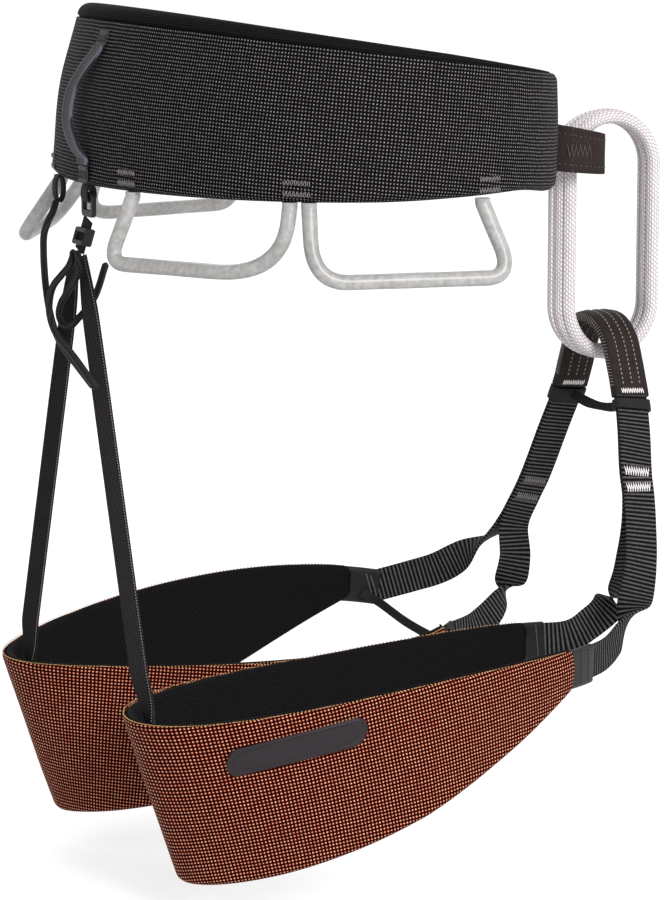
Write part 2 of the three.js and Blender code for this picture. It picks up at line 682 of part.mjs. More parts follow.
// the hook's upper bar lies in its ring, and the web is sewn round its lower bar
const HOOK_THICK = 2.2;
function rearHook() {
  const geometry = plate([0, -4.2, 13, 10.8, 2], [[0, -3.9, 9, 5.4, 0.6]], HOOK_THICK);
  geometry.translate(0, 0, -HOOK_THICK / 2);
  return geometry;
}
const hook = add('rear_hook', rearHook(), 'plastic', 0, 0.4);
hook.rotation.set(Math.PI / 2, 0, Math.PI / 2, 'ZYX');
hook.position.set(HOOK_X, HOOK_Y, RING_CENTRE_Z);

const WEB_WIDTH = 10;
const WEB_TOP = vec(HOOK_X - 0.2, HOOK_Y + 0.4, -46.6);
const WEB_END = vec(-115.5, -2, -60.4);
const WEB_ALONG = WEB_END.clone().sub(WEB_TOP);
function webPath(from, to) {
  return [0, 0.5, 1].map((t) => WEB_TOP.clone().addScaledVector(WEB_ALONG, mix(from, to, t)));
}
const webAcross = [LEFTWARDS, LEFTWARDS, LEFTWARDS];
add('suspension_web', loft(strapRings(webPath(0, 1), webAcross, WEB_WIDTH, STRAP_THICK)), 'webbing');

// the adjuster slides along the web
const ADJUSTER_FROM = 0.26;
const ADJUSTER_TO = 0.84;
add('strap_adjuster', sleeve(
  strapRings(webPath(ADJUSTER_FROM, ADJUSTER_TO), webAcross, WEB_WIDTH + 4, STRAP_THICK + 4),
  strapRings(webPath(ADJUSTER_FROM, ADJUSTER_TO), webAcross, WEB_WIDTH + 0.8, STRAP_THICK + 0.8),
), 'plastic', 0, 0.4);

// one elastic strap to the inside of the back of each leg loop; it twists to face sideways on its way
const STRAP_END_Z = -262;
const SIDEWAYS = vec(-0.9, 0.42, 0);
const STRAP_TURNS = [
  [0, LEFTWARDS], [0.13, vec(-0.7, 0.7, 0)], [0.35, SIDEWAYS], [0.65, SIDEWAYS], [0.9, SIDEWAYS],
  [0.96, vec(-0.7, 0.7, 0)], [1, LEFTWARDS],
];
function rearStrap(start, end) {
  const points = STRAP_TURNS.map(([share]) => start.clone().lerp(end, share));
  return strap(points, STRAP_TURNS.map(([, across]) => across), STRAP_WIDTH, STRAP_THICK, 3);
}
add('rear_strap_right', rearStrap(vec(-115.9, -6.4, -62.5), vec(-112.5, -67, STRAP_END_Z)), 'webbing');
add('rear_strap_left', rearStrap(vec(-115.9, 2.4, -62.5), vec(-118.5, 67, STRAP_END_Z)), 'webbing');

// free elastic cord: the tether hangs from its ring, the two tails leave the web's lower end
const TETHER_ROUTE = [
  vec(-112.5, 33.5, -41.2), vec(-115, 31.5, -46), vec(-118.5, 29, -50.5), vec(-121, 27.6, -56),
  vec(-121.5, 27.2, -64), vec(-121.5, 26.5, -72), vec(-121.5, 24.8, -80), vec(-121.5, 21.6, -88),
  vec(-121.5, 16.5, -95.5), vec(-121.5, 9.5, -101.5), vec(-121.5, 0.8, -105.5), vec(-121.5, -8, -108.6),
  vec(-121.5, -16, -111.4), vec(-121.5, -24, -114.2), vec(-121.5, -32, -117),
];
const LEFT_TAIL_ROUTE = [
  vec(-118.4, -1.5, -60), vec(-119.5, -3.5, -63), vec(-121.8, -4.5, -67), vec(-124.5, -2.5, -71),
  vec(-126.2, 2.2, -75.5), vec(-126.5, 6.4, -81), vec(-126.5, 7.9, -87.5), vec(-126.5, 4.6, -93.5),
  vec(-126.5, -2, -98), vec(-126.5, -10, -101), vec(-126.5, -18.5, -103.6), vec(-126.5, -27, -106.6),
  vec(-126.5, -35, -109.8), vec(-126.5, -42, -112.6), vec(-126.5, -48, -115),
];
const RIGHT_TAIL_ROUTE = [
  vec(-118.4, -6.2, -60), vec(-118.9, -9, -63.5), vec(-119.8, -11, -68), vec(-120.8, -9.5, -72.5),
  vec(-121.5, -5, -76.5), vec(-121.7, 0.4, -80.6), vec(-121.8, 5.6, -84.8), vec(-121.8, 8, -90),
  vec(-121.2, 4.5, -94), vec(-119.5, -0.5, -94), vec(-116.5, -2.3, -90.5), vec(-112.5, -2.4, -86.5),
  vec(-109, -2.8, -81.5), vec(-107.3, -4.5, -76), vec(-107, -8, -70.5), vec(-107, -12, -65.5),
];
function cord(route, steps) {
  return tube(route, ELASTIC_CORD, steps);
}
add('elastic_tether', cord(TETHER_ROUTE, 24), 'webbing');
add('elastic_tail_left', cord(LEFT_TAIL_ROUTE, 24), 'webbing');
add('elastic_tail_right', cord(RIGHT_TAIL_ROUTE, 24), 'webbing');

// ---------- buckle and waist strap, on the left of the tie-in ring ----------
const BUCKLE_CENTRE = new THREE.Vector2(98.7, 43.5);
const BUCKLE_TURN = Math.atan2(0.92, -0.388); // direction of the strap, seen from above
const BUCKLE_LENGTH = 30;
const BUCKLE_HEIGHT = 30;
const PLATE_THICK = 2;
const SLOT = 4.5;
const SLOT_AT = 9.2; // of each slot's middle from the buckle's centre
const STRAP_OFFSET = 2.6; // of the webbing's middle from the buckle plate's middle

// a point seen from above, from its place along the buckle and its distance outside it
function buckleXY(along, out) {
  const [c, s] = [Math.cos(BUCKLE_TURN), Math.sin(BUCKLE_TURN)];
  return [BUCKLE_CENTRE.x + along * c + out * s, BUCKLE_CENTRE.y + along * s - out * c];
}

// webbing turned round a slot's outer bar: side is -1 for the right slot and 1 for the left
function turnThroughSlot(side) {
  const places = [[13.4, -1], [11, -0.85], [9.6, -0.45], [SLOT_AT, 0], [9.6, 0.45], [11, 0.85], [13.4, 1]];
  return places.map(([along, out]) => buckleXY(side * along, out * STRAP_OFFSET));
}

const waistXY = (angle, outset) => waistPoint(angle, outset, WEBBING_MID).toArray().slice(0, 2);
const frontHeights = () => [WEBBING_MID - BELT_WEBBING_HEIGHT / 2, WEBBING_MID + BELT_WEBBING_HEIGHT / 2];

function smoothXY(points, stepsEach) {
  const path = smooth(points.map(([x, y]) => vec(x, y, 0)), stepsEach);
  return path.map((p) => [p.x, p.y]);
}

const innerLine = -SHELL - 2.5 * GAP - WEBBING / 2; // of the webbing's middle, inside the shell
const FRONT_WEBBING_X = RING_REAR_X - RING_WEB / 2 - GAP - WEBBING / 2;
add('front_webbing', loft(uprightRings(smoothXY([
  waistXY(BELT_RIGHT_END - 0.5, innerLine), [101.5, -21], [107.4, -11], [FRONT_WEBBING_X, 0],
  [108, 11], buckleXY(-23, -STRAP_OFFSET), ...turnThroughSlot(-1), buckleXY(-20, STRAP_OFFSET),
], 2), WEBBING, frontHeights)), 'webbing');

const TAIL_OUTSET = 2.6; // of the doubled-back strap's middle, outside the shell
const TAIL_SPLIT = 50; // degrees: the loose end starts here
add('waist_strap', loft(uprightRings(smoothXY([
  waistXY(44, innerLine), waistXY(39, innerLine), waistXY(34, innerLine), waistXY(30.5, innerLine),
  waistXY(27, innerLine),
  buckleXY(18, -STRAP_OFFSET - 0.4), ...turnThroughSlot(1),
  buckleXY(19, STRAP_OFFSET + 0.3), waistXY(29, TAIL_OUTSET + 0.6), waistXY(36, TAIL_OUTSET),
  waistXY(43, TAIL_OUTSET), waistXY(TAIL_SPLIT, TAIL_OUTSET),
], 2), WEBBING, frontHeights)), 'webbing');

const TAIL_ANGLES = [50.7, 56, 62, 68, 74, 80]; // clear of the sewn part, so that the tail can lift
add('strap_tail', loft(uprightRings(
  TAIL_ANGLES.map((angle) => waistXY(angle, TAIL_OUTSET)), WEBBING, frontHeights)), 'webbing');

function tailKeeper(from) {
  const frame = (inner, outer, grow) => [0, 1.8, 3.6].map((turn) => {
    const place = (out, z) => waistPoint(from + turn, out, z);
    const [low, high] = [frontHeights()[0] - grow, frontHeights()[1] + grow];
    return [place(inner, low), place(inner, high), place(outer, high), place(outer, low)];
  });
  const [near, far] = [TAIL_OUTSET - WEBBING / 2 - 0.4, TAIL_OUTSET + WEBBING / 2 + 0.4];
  return sleeve(frame(near - 0.7, far + 0.8, 1.3), frame(near, far, 0.5));
}
add('tail_keeper_front', tailKeeper(34), 'webbing');
add('tail_keeper_rear', tailKeeper(44), 'webbing');

function buckleMesh(name, geometry, along, out) {
  const mesh = add(name, geometry, 'metal', 1, 0.35);
  const [x, y] = buckleXY(along, out);
  mesh.rotation.set(Math.PI / 2, 0, BUCKLE_TURN, 'ZYX');
  mesh.position.set(x, y, WEBBING_MID);
}
const bar = plate([0, 0, BUCKLE_LENGTH, BUCKLE_HEIGHT, 4], [
  [-SLOT_AT, 0, SLOT, BELT_WEBBING_HEIGHT + 1.4, 1], [SLOT_AT, 0, SLOT, BELT_WEBBING_HEIGHT + 1.4, 1],
], PLATE_THICK);
bar.translate(0, 0, -PLATE_THICK / 2);
buckleMesh('buckle_frame', bar, 0, 0);
const slider = plate([0, 0, 10, BUCKLE_HEIGHT - 2, 2], [[0, 0, 3.5, 16, 1]], 1.6);
slider.translate(0, 0, -0.8);
buckleMesh('buckle_slider', slider, -0.5, PLATE_THICK / 2 + 0.8 + GAP);

export default group;
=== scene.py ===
"""Looks of the climbing harness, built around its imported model.

Lengths are millimetres until a mesh is made, except for the lights' places and sizes and the
floor's reach, which are in metres. +X is the wearer's front, +Y the wearer's left,
+Z is up, and the origin is the centre of the waist opening.
"""
import json
import math

import bpy
import numpy as np
from mathutils import Vector
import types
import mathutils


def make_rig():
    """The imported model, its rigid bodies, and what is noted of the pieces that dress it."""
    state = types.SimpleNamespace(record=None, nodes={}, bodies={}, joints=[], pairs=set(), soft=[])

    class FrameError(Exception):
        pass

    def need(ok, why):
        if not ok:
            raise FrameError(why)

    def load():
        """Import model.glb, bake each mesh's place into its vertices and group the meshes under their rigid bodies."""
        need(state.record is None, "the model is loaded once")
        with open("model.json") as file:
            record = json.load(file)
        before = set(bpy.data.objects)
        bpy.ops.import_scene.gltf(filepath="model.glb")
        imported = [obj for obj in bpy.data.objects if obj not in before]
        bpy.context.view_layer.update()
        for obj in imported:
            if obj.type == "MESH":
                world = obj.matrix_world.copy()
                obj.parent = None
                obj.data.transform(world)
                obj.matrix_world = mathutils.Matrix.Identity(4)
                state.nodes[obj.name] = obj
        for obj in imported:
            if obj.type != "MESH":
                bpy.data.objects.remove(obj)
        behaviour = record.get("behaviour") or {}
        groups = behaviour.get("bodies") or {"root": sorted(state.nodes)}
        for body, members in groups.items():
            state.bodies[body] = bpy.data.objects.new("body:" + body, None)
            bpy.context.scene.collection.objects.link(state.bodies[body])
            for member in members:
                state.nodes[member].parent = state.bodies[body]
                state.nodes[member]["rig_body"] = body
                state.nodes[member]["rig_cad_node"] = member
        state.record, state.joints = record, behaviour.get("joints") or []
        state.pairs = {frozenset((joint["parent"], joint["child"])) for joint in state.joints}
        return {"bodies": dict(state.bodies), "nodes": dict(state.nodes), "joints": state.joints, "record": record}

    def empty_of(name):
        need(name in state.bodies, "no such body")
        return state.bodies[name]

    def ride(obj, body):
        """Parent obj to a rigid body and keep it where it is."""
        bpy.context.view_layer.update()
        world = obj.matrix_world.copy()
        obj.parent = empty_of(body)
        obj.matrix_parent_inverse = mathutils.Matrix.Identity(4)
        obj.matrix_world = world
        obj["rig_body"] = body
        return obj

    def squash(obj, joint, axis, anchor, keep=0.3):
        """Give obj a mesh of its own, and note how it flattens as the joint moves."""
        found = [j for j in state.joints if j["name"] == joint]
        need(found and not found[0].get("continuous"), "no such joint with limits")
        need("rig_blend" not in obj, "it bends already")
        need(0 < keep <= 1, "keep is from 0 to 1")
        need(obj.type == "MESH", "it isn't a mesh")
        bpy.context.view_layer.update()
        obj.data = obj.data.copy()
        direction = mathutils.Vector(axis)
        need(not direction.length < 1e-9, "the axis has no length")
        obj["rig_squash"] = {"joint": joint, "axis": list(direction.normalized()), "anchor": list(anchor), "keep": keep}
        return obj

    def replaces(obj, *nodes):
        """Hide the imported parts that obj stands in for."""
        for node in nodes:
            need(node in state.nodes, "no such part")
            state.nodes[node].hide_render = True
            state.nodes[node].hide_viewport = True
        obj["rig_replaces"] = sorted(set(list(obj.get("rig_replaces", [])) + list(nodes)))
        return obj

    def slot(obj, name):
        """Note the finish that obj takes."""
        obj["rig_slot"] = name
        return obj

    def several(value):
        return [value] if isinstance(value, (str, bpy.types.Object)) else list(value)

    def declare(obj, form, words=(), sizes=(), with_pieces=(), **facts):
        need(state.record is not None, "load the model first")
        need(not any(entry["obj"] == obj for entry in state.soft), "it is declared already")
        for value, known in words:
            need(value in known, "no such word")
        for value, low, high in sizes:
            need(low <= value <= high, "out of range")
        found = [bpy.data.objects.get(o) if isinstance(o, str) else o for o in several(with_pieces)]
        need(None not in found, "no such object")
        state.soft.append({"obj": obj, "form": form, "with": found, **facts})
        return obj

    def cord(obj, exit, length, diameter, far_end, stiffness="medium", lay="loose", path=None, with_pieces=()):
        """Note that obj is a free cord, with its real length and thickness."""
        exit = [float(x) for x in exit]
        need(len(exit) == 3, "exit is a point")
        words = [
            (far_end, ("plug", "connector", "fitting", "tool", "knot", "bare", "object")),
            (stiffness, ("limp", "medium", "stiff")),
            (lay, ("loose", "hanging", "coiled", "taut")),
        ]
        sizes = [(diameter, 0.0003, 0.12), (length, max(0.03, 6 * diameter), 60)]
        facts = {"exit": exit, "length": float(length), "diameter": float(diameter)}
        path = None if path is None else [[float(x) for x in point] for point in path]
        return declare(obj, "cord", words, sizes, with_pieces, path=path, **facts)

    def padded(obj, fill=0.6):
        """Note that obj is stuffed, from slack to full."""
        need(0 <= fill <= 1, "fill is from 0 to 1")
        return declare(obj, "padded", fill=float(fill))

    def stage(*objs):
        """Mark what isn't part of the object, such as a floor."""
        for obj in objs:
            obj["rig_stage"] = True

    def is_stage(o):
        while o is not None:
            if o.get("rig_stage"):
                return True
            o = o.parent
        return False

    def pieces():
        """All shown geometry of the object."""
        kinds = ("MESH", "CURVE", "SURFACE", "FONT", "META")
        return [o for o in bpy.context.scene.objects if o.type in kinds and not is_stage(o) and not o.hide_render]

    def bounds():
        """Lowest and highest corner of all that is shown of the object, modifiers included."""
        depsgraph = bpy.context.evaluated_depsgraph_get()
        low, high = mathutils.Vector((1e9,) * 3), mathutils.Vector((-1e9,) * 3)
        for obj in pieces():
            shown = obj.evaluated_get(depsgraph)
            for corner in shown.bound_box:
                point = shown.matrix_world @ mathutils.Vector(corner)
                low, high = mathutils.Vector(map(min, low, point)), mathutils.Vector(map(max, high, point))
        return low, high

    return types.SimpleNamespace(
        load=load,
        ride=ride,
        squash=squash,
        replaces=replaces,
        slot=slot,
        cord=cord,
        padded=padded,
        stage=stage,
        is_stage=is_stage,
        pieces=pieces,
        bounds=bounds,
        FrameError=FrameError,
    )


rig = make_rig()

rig.load()
cad_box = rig.bounds()

MM = 0.001  # metres in a millimetre

# ---------- driving dimensions, as in the part ----------
WAIST_FRONT, WAIST_BACK, WAIST_SIDE = 100, 110, 138
BELT_BOTTOM = -31
BELT_TOP_MEAN, BELT_TOP_RISE = 27.5, 13
BELT_FLARE, FLARE_REACH = 6.8, 33
BELT_START, BELT_END = 27, 346  # degrees from the front, round by the wearer's left
TOP_CORNER, BOTTOM_CORNER = 20, 10
BELT_THICK = 9.1
LINING_PROUD = 3.3
WEBBING_MID, BELT_WEBBING_HEIGHT, WEBBING = -22, 22, 2.2

RING_REAR_X, RING_FRONT_X, RING_HALF_WIDTH = 113, 143.5, 20
RING_WEB, RING_TOP, RING_BOTTOM = 3, -11, -33
RING_DROP, RING_NARROWING = 6.3, 3.3
COVER_WALL = 0.9

BELAY_CENTRE = (152.3, 0, -66.2)
BELAY_WIDTH, BELAY_THICK, BELAY_RADIUS, BELAY_HALF_HEIGHT = 15, 7, 23.3, 56

LEG_CENTRE_Y, LEG_LENGTH, LEG_WIDTH = 68, 118, 60
LEG_OUTER_END, LEG_INNER_END = 46, 326
LEG_BACK_TOP, LEG_BACK_BOTTOM = -258, -335
LEG_OUTER_RISE, LEG_OUTER_BOTTOM_RISE, LEG_INNER_BOTTOM_RISE = 22, 100, 72
LEG_BOTTOM_POWER, LEG_TAPER, LEG_THICK = 1.7, 0.33, 6
TAB_THICK, TAB_HEIGHT = 3, 18
LEGS = {
    "right": {"side": -1, "centre_x": -4, "inner_rise": 16},
    "left": {"side": 1, "centre_x": -10, "inner_rise": -5},
}

LEG_WEB_WIDTH, LEG_WEB_THICK = 16, 1.6
LAYER_GAP, SLEEVE_ROOM = 0.3, 0.4  # between the two layers, and between them and a sleeve
RIB_PITCH = 2.0
GEAR_TUBE, GEAR_TOP = 6.6, BELT_BOTTOM - 2.2
GEAR_REAR, GEAR_MIDDLE, GEAR_BETWEEN, GEAR_FRONT = 162, 123.5, 4, 79
STRAP_WIDTH, STRAP_THICK, ELASTIC_WIDTH, ELASTIC_CORD = 8, 1.2, 4.5, 3.2
HAUL_WIDTH, HAUL_OUT = 9.5, 3.2
HOOK_AT = (-112.5, -6, -35.6)
TETHER_RING_AT = (-111, 34, -35.6)
WEB_TOP, WEB_END = (-112.7, -5.6, -46.6), (-115.5, -2, -60.4)
BUCKLE_XY, BUCKLE_TURN = (98.7, 43.5), math.atan2(0.92, -0.388)


# ---------- numbers ----------
def mix(a, b, t):
    return a + (b - a) * t


def unit(v):
    v = np.asarray(v, float)
    return v / np.maximum(np.linalg.norm(v, axis=-1, keepdims=True), 1e-9)


def smoothstep(t):
    t = np.clip(t, 0, 1)
    return t * t * (3 - 2 * t)


def soft_noise(a, b, amplitude):
    """A smooth unevenness, the same on every run."""
    slow = np.sin(a / 17 + 1.3) * np.sin(b / 11 + 0.7)
    quick = np.sin(a / 6.1 + 2.1) * np.sin(b / 7.3 + 1.1)
    return amplitude * (slow + 0.45 * quick)


def catmull(points, per_span=16):
    """Points on the centripetal Catmull-Rom curve through the given points."""
    p = np.array(points, float)
    q = np.vstack([2 * p[0] - p[1], p, 2 * p[-1] - p[-2]])
    t = np.linspace(0, 1, per_span, endpoint=False)[:, None]
    spans = []
    for a, b, c, d in zip(q, q[1:], q[2:], q[3:]):
        ab, bc, cd = [max(np.linalg.norm(v) ** 0.5, 1e-4) for v in (b - a, c - b, d - c)]
        start = ((b - a) / ab - (c - a) / (ab + bc) + (c - b) / bc) * bc
        end = ((c - b) / bc - (d - b) / (bc + cd) + (d - c) / cd) * bc
        spans.append(b + start * t + (3 * (c - b) - 2 * start - end) * t**2
                     + (2 * (b - c) + start + end) * t**3)
    return np.vstack(spans + [p[-1:]])


def lengths(path):
    steps = np.linalg.norm(np.diff(path, axis=0), axis=1)
    return np.concatenate([[0], np.cumsum(steps)])


def respace(path, step, *others):
    """The path with even steps, and other rows of values carried along with it."""
    along = lengths(path)
    at = np.linspace(0, along[-1], max(2, int(round(along[-1] / step)) + 1))
    rows = []
    for values in (path, *others):
        values = np.asarray(values, float)
        rows.append(np.stack([np.interp(at, along, values[:, k]) for k in range(values.shape[1])], 1))
    return rows if others else rows[0]


# ---------- meshes ----------
def new_object(name, data):
    made = bpy.data.objects.new(name, data)
    bpy.context.scene.collection.objects.link(made)
    return made


def mesh_object(name, vertices, faces, uvs, material, sharp=None):
    """A smooth mesh. uvs holds one pair for each corner of each face, in millimetres."""
    mesh = bpy.data.meshes.new(name)
    mesh.from_pydata((np.asarray(vertices) * MM).tolist(), [], faces)
    if uvs is not None:
        layer = mesh.uv_layers.new(name="weave")
        layer.data.foreach_set("uv", np.asarray(uvs, float).ravel())
    mesh.materials.append(material)
    mesh.validate()
    mesh.shade_smooth()
    if sharp:
        mesh.set_sharp_from_angle(angle=math.radians(sharp))
    return new_object(name, mesh)


def grid_faces(rows, columns, wrap_rows=False, wrap_columns=False, first=0, flip=False):
    """Faces over a grid of vertices, and for each corner its place in the grid of uvs."""
    faces, corners = [], []
    for i in range(rows if wrap_rows else rows - 1):
        for j in range(columns if wrap_columns else columns - 1):
            quad = [(i, j), (i + 1, j), (i + 1, j + 1), (i, j + 1)]
            if flip:
                quad.reverse()
            faces.append([first + (a % rows) * columns + b % columns for a, b in quad])
            corners.append(quad)
    return faces, corners


def place_piece(piece, body, nodes=(), slot=None):
    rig.ride(piece, body)
    if nodes:
        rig.replaces(piece, *nodes)
    if slot:
        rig.slot(piece, slot)
    return piece


SHARP_STRIP, SHARP_SHELL = 50, 60  # degrees between two faces from which their edge is sharp
RIB_FADE = 1.2  # ribs die away over this distance from the webbing's edges


def frames_along(path, across, closed):
    """The directions of the width and of the face at each point of a path."""
    if closed:
        along = unit(np.roll(path, -1, 0) - np.roll(path, 1, 0))
    else:
        along = unit(np.gradient(path, axis=0))
    side = np.broadcast_to(np.asarray(across, float), path.shape)
    side = unit(side - along * np.sum(side * along, 1, keepdims=True))
    return side, np.cross(along, side)


def rib_relief(section, far, pitch, height):
    """How far the ribs move each point of the sections."""
    half = section[:, :, 0].max(1, keepdims=True)
    inside = smoothstep((half - np.abs(section[:, :, 0])) / RIB_FADE)
    wave = 0.5 + 0.5 * np.cos(2 * np.pi * far[:, None] / pitch)
    return np.sign(section[:, :, 1]) * inside * height * (wave - 0.5)


def sweep(name, path, across, section, material, closed=False, ribs=None):
    """Webbing or tape: a closed section carried along a path.

    across holds the direction of the width at each point, section the (width, thickness) points.
    ribs is (pitch, height) of the ribs that cross its faces.
    """
    path = np.asarray(path, float)
    side, face = frames_along(path, across, closed)
    section = np.asarray(section, float)
    if section.ndim == 2:
        section = np.repeat(section[None], len(path), 0)
    far = lengths(np.vstack([path, path[:1]]) if closed else path)
    thick = section[:, :, 1]
    if ribs:
        thick = thick + rib_relief(section, far[: len(path)], *ribs)
    points = path[:, None] + side[:, None] * section[:, :, :1] + face[:, None] * thick[:, :, None]
    count = section.shape[1]
    faces, corners = grid_faces(len(path), count, closed, True)
    around = lengths(np.vstack([section[0], section[0][:1]]))
    v = far[np.minimum(np.arange(len(path) + 1), len(far) - 1)]
    uvs = [[(around[b], v[a]) for a, b in quad] for quad in corners]
    if not closed:
        last = (len(path) - 1) * count
        faces += [list(range(count)), list(range(last + count - 1, last - 1, -1))]
        uvs += [[(x, y) for x, y in section[0]], [(x, y) for x, y in section[-1][::-1]]]
    flat = [pair for quad in uvs for pair in quad]
    return mesh_object(name, points.reshape(-1, 3), faces, flat, material, SHARP_STRIP)


def strip(name, body, slot, path, across, section, material, **shape):
    """A sweep that stands for the CAD node of its own name."""
    return place_piece(sweep(name, path, across, section, material, **shape), body, [name], slot)


def tape(width, thick, points=13):
    """The section of flat webbing: flat faces and rounded edges."""
    half, low = width / 2, thick / 2
    across = np.linspace(-half + low, half - low, points)
    turn = np.linspace(-math.pi / 2, math.pi / 2, 7)[1:-1]
    right = [(half - low + low * math.cos(t), low * math.sin(t)) for t in turn]
    left = [(-x, -y) for x, y in right]
    return np.array([(x, -low) for x in across] + right + [(x, low) for x in across[::-1]] + left)


def circle(points):
    turn = np.linspace(0, 2 * np.pi, points, endpoint=False)
    return np.cos(turn), np.sin(turn)


def oval(width, thick, points=12):
    c, s = circle(points)
    return np.stack([width / 2 * c, thick / 2 * s], 1)


def squared(values, power):
    """Cosines or sines pushed outwards by a power below 1, which makes a circle's corners square."""
    return np.sign(values) * np.abs(values) ** power


def shell(name, outer, inner, uv, material):
    """A thin closed layer between two grids of points that face each other."""
    rows, columns = outer.shape[:2]
    total = rows * columns
    faces, corners = grid_faces(rows, columns)
    back, back_corners = grid_faces(rows, columns, first=total, flip=True)
    rim = [(i, 0) for i in range(rows)]
    rim += [(rows - 1, j) for j in range(1, columns)]
    rim += [(i, columns - 1) for i in range(rows - 2, -1, -1)]
    rim += [(0, j) for j in range(columns - 2, 0, -1)]
    edge, edge_corners = [], []
    for a, b in zip(rim, rim[1:] + rim[:1]):
        near, far = a[0] * columns + a[1], b[0] * columns + b[1]
        edge.append([far, near, total + near, total + far])
        edge_corners.append([b, a, a, b])
    flat = [tuple(uv[i, j]) for quad in corners + back_corners + edge_corners for i, j in quad]
    vertices = np.vstack([outer.reshape(-1, 3), inner.reshape(-1, 3)])
    return mesh_object(name, vertices, faces + back + edge, flat, material, SHARP_SHELL)


# ---------- materials ----------
class Shader:
    """The nodes of one material. Patterns run on the mesh's own weave coordinates, in millimetres."""

    def __init__(self, name, colour, roughness, **uniform):
        self.material = bpy.data.materials.new(name)
        self.material.use_nodes = True
        self.tree = self.material.node_tree
        self.surface = self.tree.nodes["Principled BSDF"]
        self.set("Base Color", colour)
        self.set("Roughness", roughness)
        for socket, value in uniform.items():
            self.set(socket.replace("_", " "), value)

    def set(self, socket, value):
        """Give the surface a uniform value, or link it."""
        self.feed(self.surface.inputs[socket], value)

    def feed(self, socket, value):
        if isinstance(value, bpy.types.NodeSocket):
            self.tree.links.new(value, socket)
        elif isinstance(value, tuple) and len(socket.default_value) == 4:
            socket.default_value = (*value, 1)
        else:
            socket.default_value = value

    def node(self, kind, inputs=(), **settings):
        made = self.tree.nodes.new(kind)
        for key, value in settings.items():
            setattr(made, key, value)
        for key, value in dict(inputs).items():
            self.feed(made.inputs[key], value)
        return made

    def math(self, operation, *values):
        return self.node("ShaderNodeMath", enumerate(values), operation=operation).outputs[0]

    def times(self, *values):
        return self.math("MULTIPLY", *values)

    def plus(self, *values):
        return self.math("ADD", *values)

    def scaled(self, value, factor, offset):
        return self.math("MULTIPLY_ADD", value, factor, offset)

    def cell(self, value, pitch):
        """The number of the cell that a place lies in."""
        return self.math("FLOOR", self.math("DIVIDE", value, pitch))

    def weave(self):
        uv = self.node("ShaderNodeUVMap", uv_map="weave").outputs[0]
        apart = self.node("ShaderNodeSeparateXYZ", {0: uv})
        return apart.outputs[0], apart.outputs[1]

    def centred(self, value, pitch):
        """Distance from the middle of the nearest cell, in millimetres."""
        turned = self.math("FRACT", self.math("DIVIDE", value, pitch))
        return self.times(self.math("SUBTRACT", turned, 0.5), pitch)

    def wave(self, value, pitch):
        """1 on each row and 0 between rows."""
        turned = self.math("COSINE", self.times(value, 2 * math.pi / pitch))
        return self.scaled(turned, 0.5, 0.5)

    def fade(self, value, low, high):
        """0 at low, 1 at high."""
        ends = {"Value": value, "From Min": low, "From Max": high}
        return self.node("ShaderNodeMapRange", ends, interpolation_type="SMOOTHSTEP").outputs[0]

    def dots(self, u, v, pitch, radius, soft):
        x, y = self.centred(u, pitch), self.centred(v, pitch)
        away = self.math("SQRT", self.plus(self.times(x, x), self.times(y, y)))
        return self.fade(away, radius + soft, radius - soft)

    def each(self, u, v, pitch):
        """A value from 0 to 1 that differs from one cell of the weave to the next."""
        cell = self.node("ShaderNodeCombineXYZ", {
            0: self.cell(u, pitch), 1: self.cell(v, pitch)}).outputs[0]
        return self.node("ShaderNodeTexWhiteNoise", {"Vector": cell}).outputs["Value"]

    def noise(self, scale, detail=2.0):
        place = self.node("ShaderNodeTexCoord").outputs["Object"]
        inputs = {"Vector": place, "Scale": scale, "Detail": detail}
        return self.node("ShaderNodeTexNoise", inputs).outputs["Fac"]

    def mix(self, share, first, second):
        made = self.node("ShaderNodeMix", data_type="RGBA")
        for socket, value in ((0, share), (6, first), (7, second)):
            self.feed(made.inputs[socket], value)
        return made.outputs[2]

    def bump(self, height, depth):
        """Relief of the given depth in millimetres, on top of any already there."""
        inputs = {"Height": height, "Distance": depth * MM, "Strength": 1.0}
        made = self.node("ShaderNodeBump", inputs)
        normal = self.surface.inputs["Normal"]
        if normal.links:
            self.feed(made.inputs["Normal"], normal.links[0].from_socket)
        self.feed(normal, made.outputs[0])


def spacer_mesh(name, base, halo, core, pitch, radius):
    """Mesh fabric: a grid of bright dots, each with a halo, on dark ridged rows."""
    shader = Shader(name, base, 0.6, Specular_IOR_Level=0.02)
    u, v = shader.weave()
    drift = shader.times(shader.math("SUBTRACT", shader.noise(90), 0.5), 0.7)
    u, v = shader.plus(u, drift), shader.plus(v, drift)
    own = shader.each(u, v, pitch)
    glow = shader.dots(u, v, pitch, radius * 1.55, radius * 0.5)
    spot = shader.dots(u, v, pitch, radius, radius * 0.35)
    spot = shader.times(spot, shader.scaled(own, 0.5, 0.5))
    uneven = shader.scaled(shader.noise(35), 0.5, 0.75)
    dark = shader.mix(uneven, (0, 0, 0), base)
    shader.set("Base Color", shader.mix(spot, shader.mix(glow, dark, halo), core))
    rows = shader.wave(v, pitch)
    columns = shader.wave(u, pitch)
    shader.bump(shader.scaled(columns, -0.45, shader.times(rows, -0.8)), 0.35)
    return shader.material


def fine_mesh(name, base, light, pitch):
    """Thin lining mesh: small staggered holes."""
    shader = Shader(name, base, 0.8, Specular_IOR_Level=0.04)
    u, v = shader.weave()
    row = shader.cell(v, pitch)
    shifted = shader.scaled(row, pitch / 2, u)
    knots = shader.dots(shifted, v, pitch, pitch * 0.27, pitch * 0.12)
    shader.set("Base Color", shader.mix(knots, base, light))
    shader.bump(knots, 0.12)
    shader.bump(shader.noise(60), 0.3)
    return shader.material


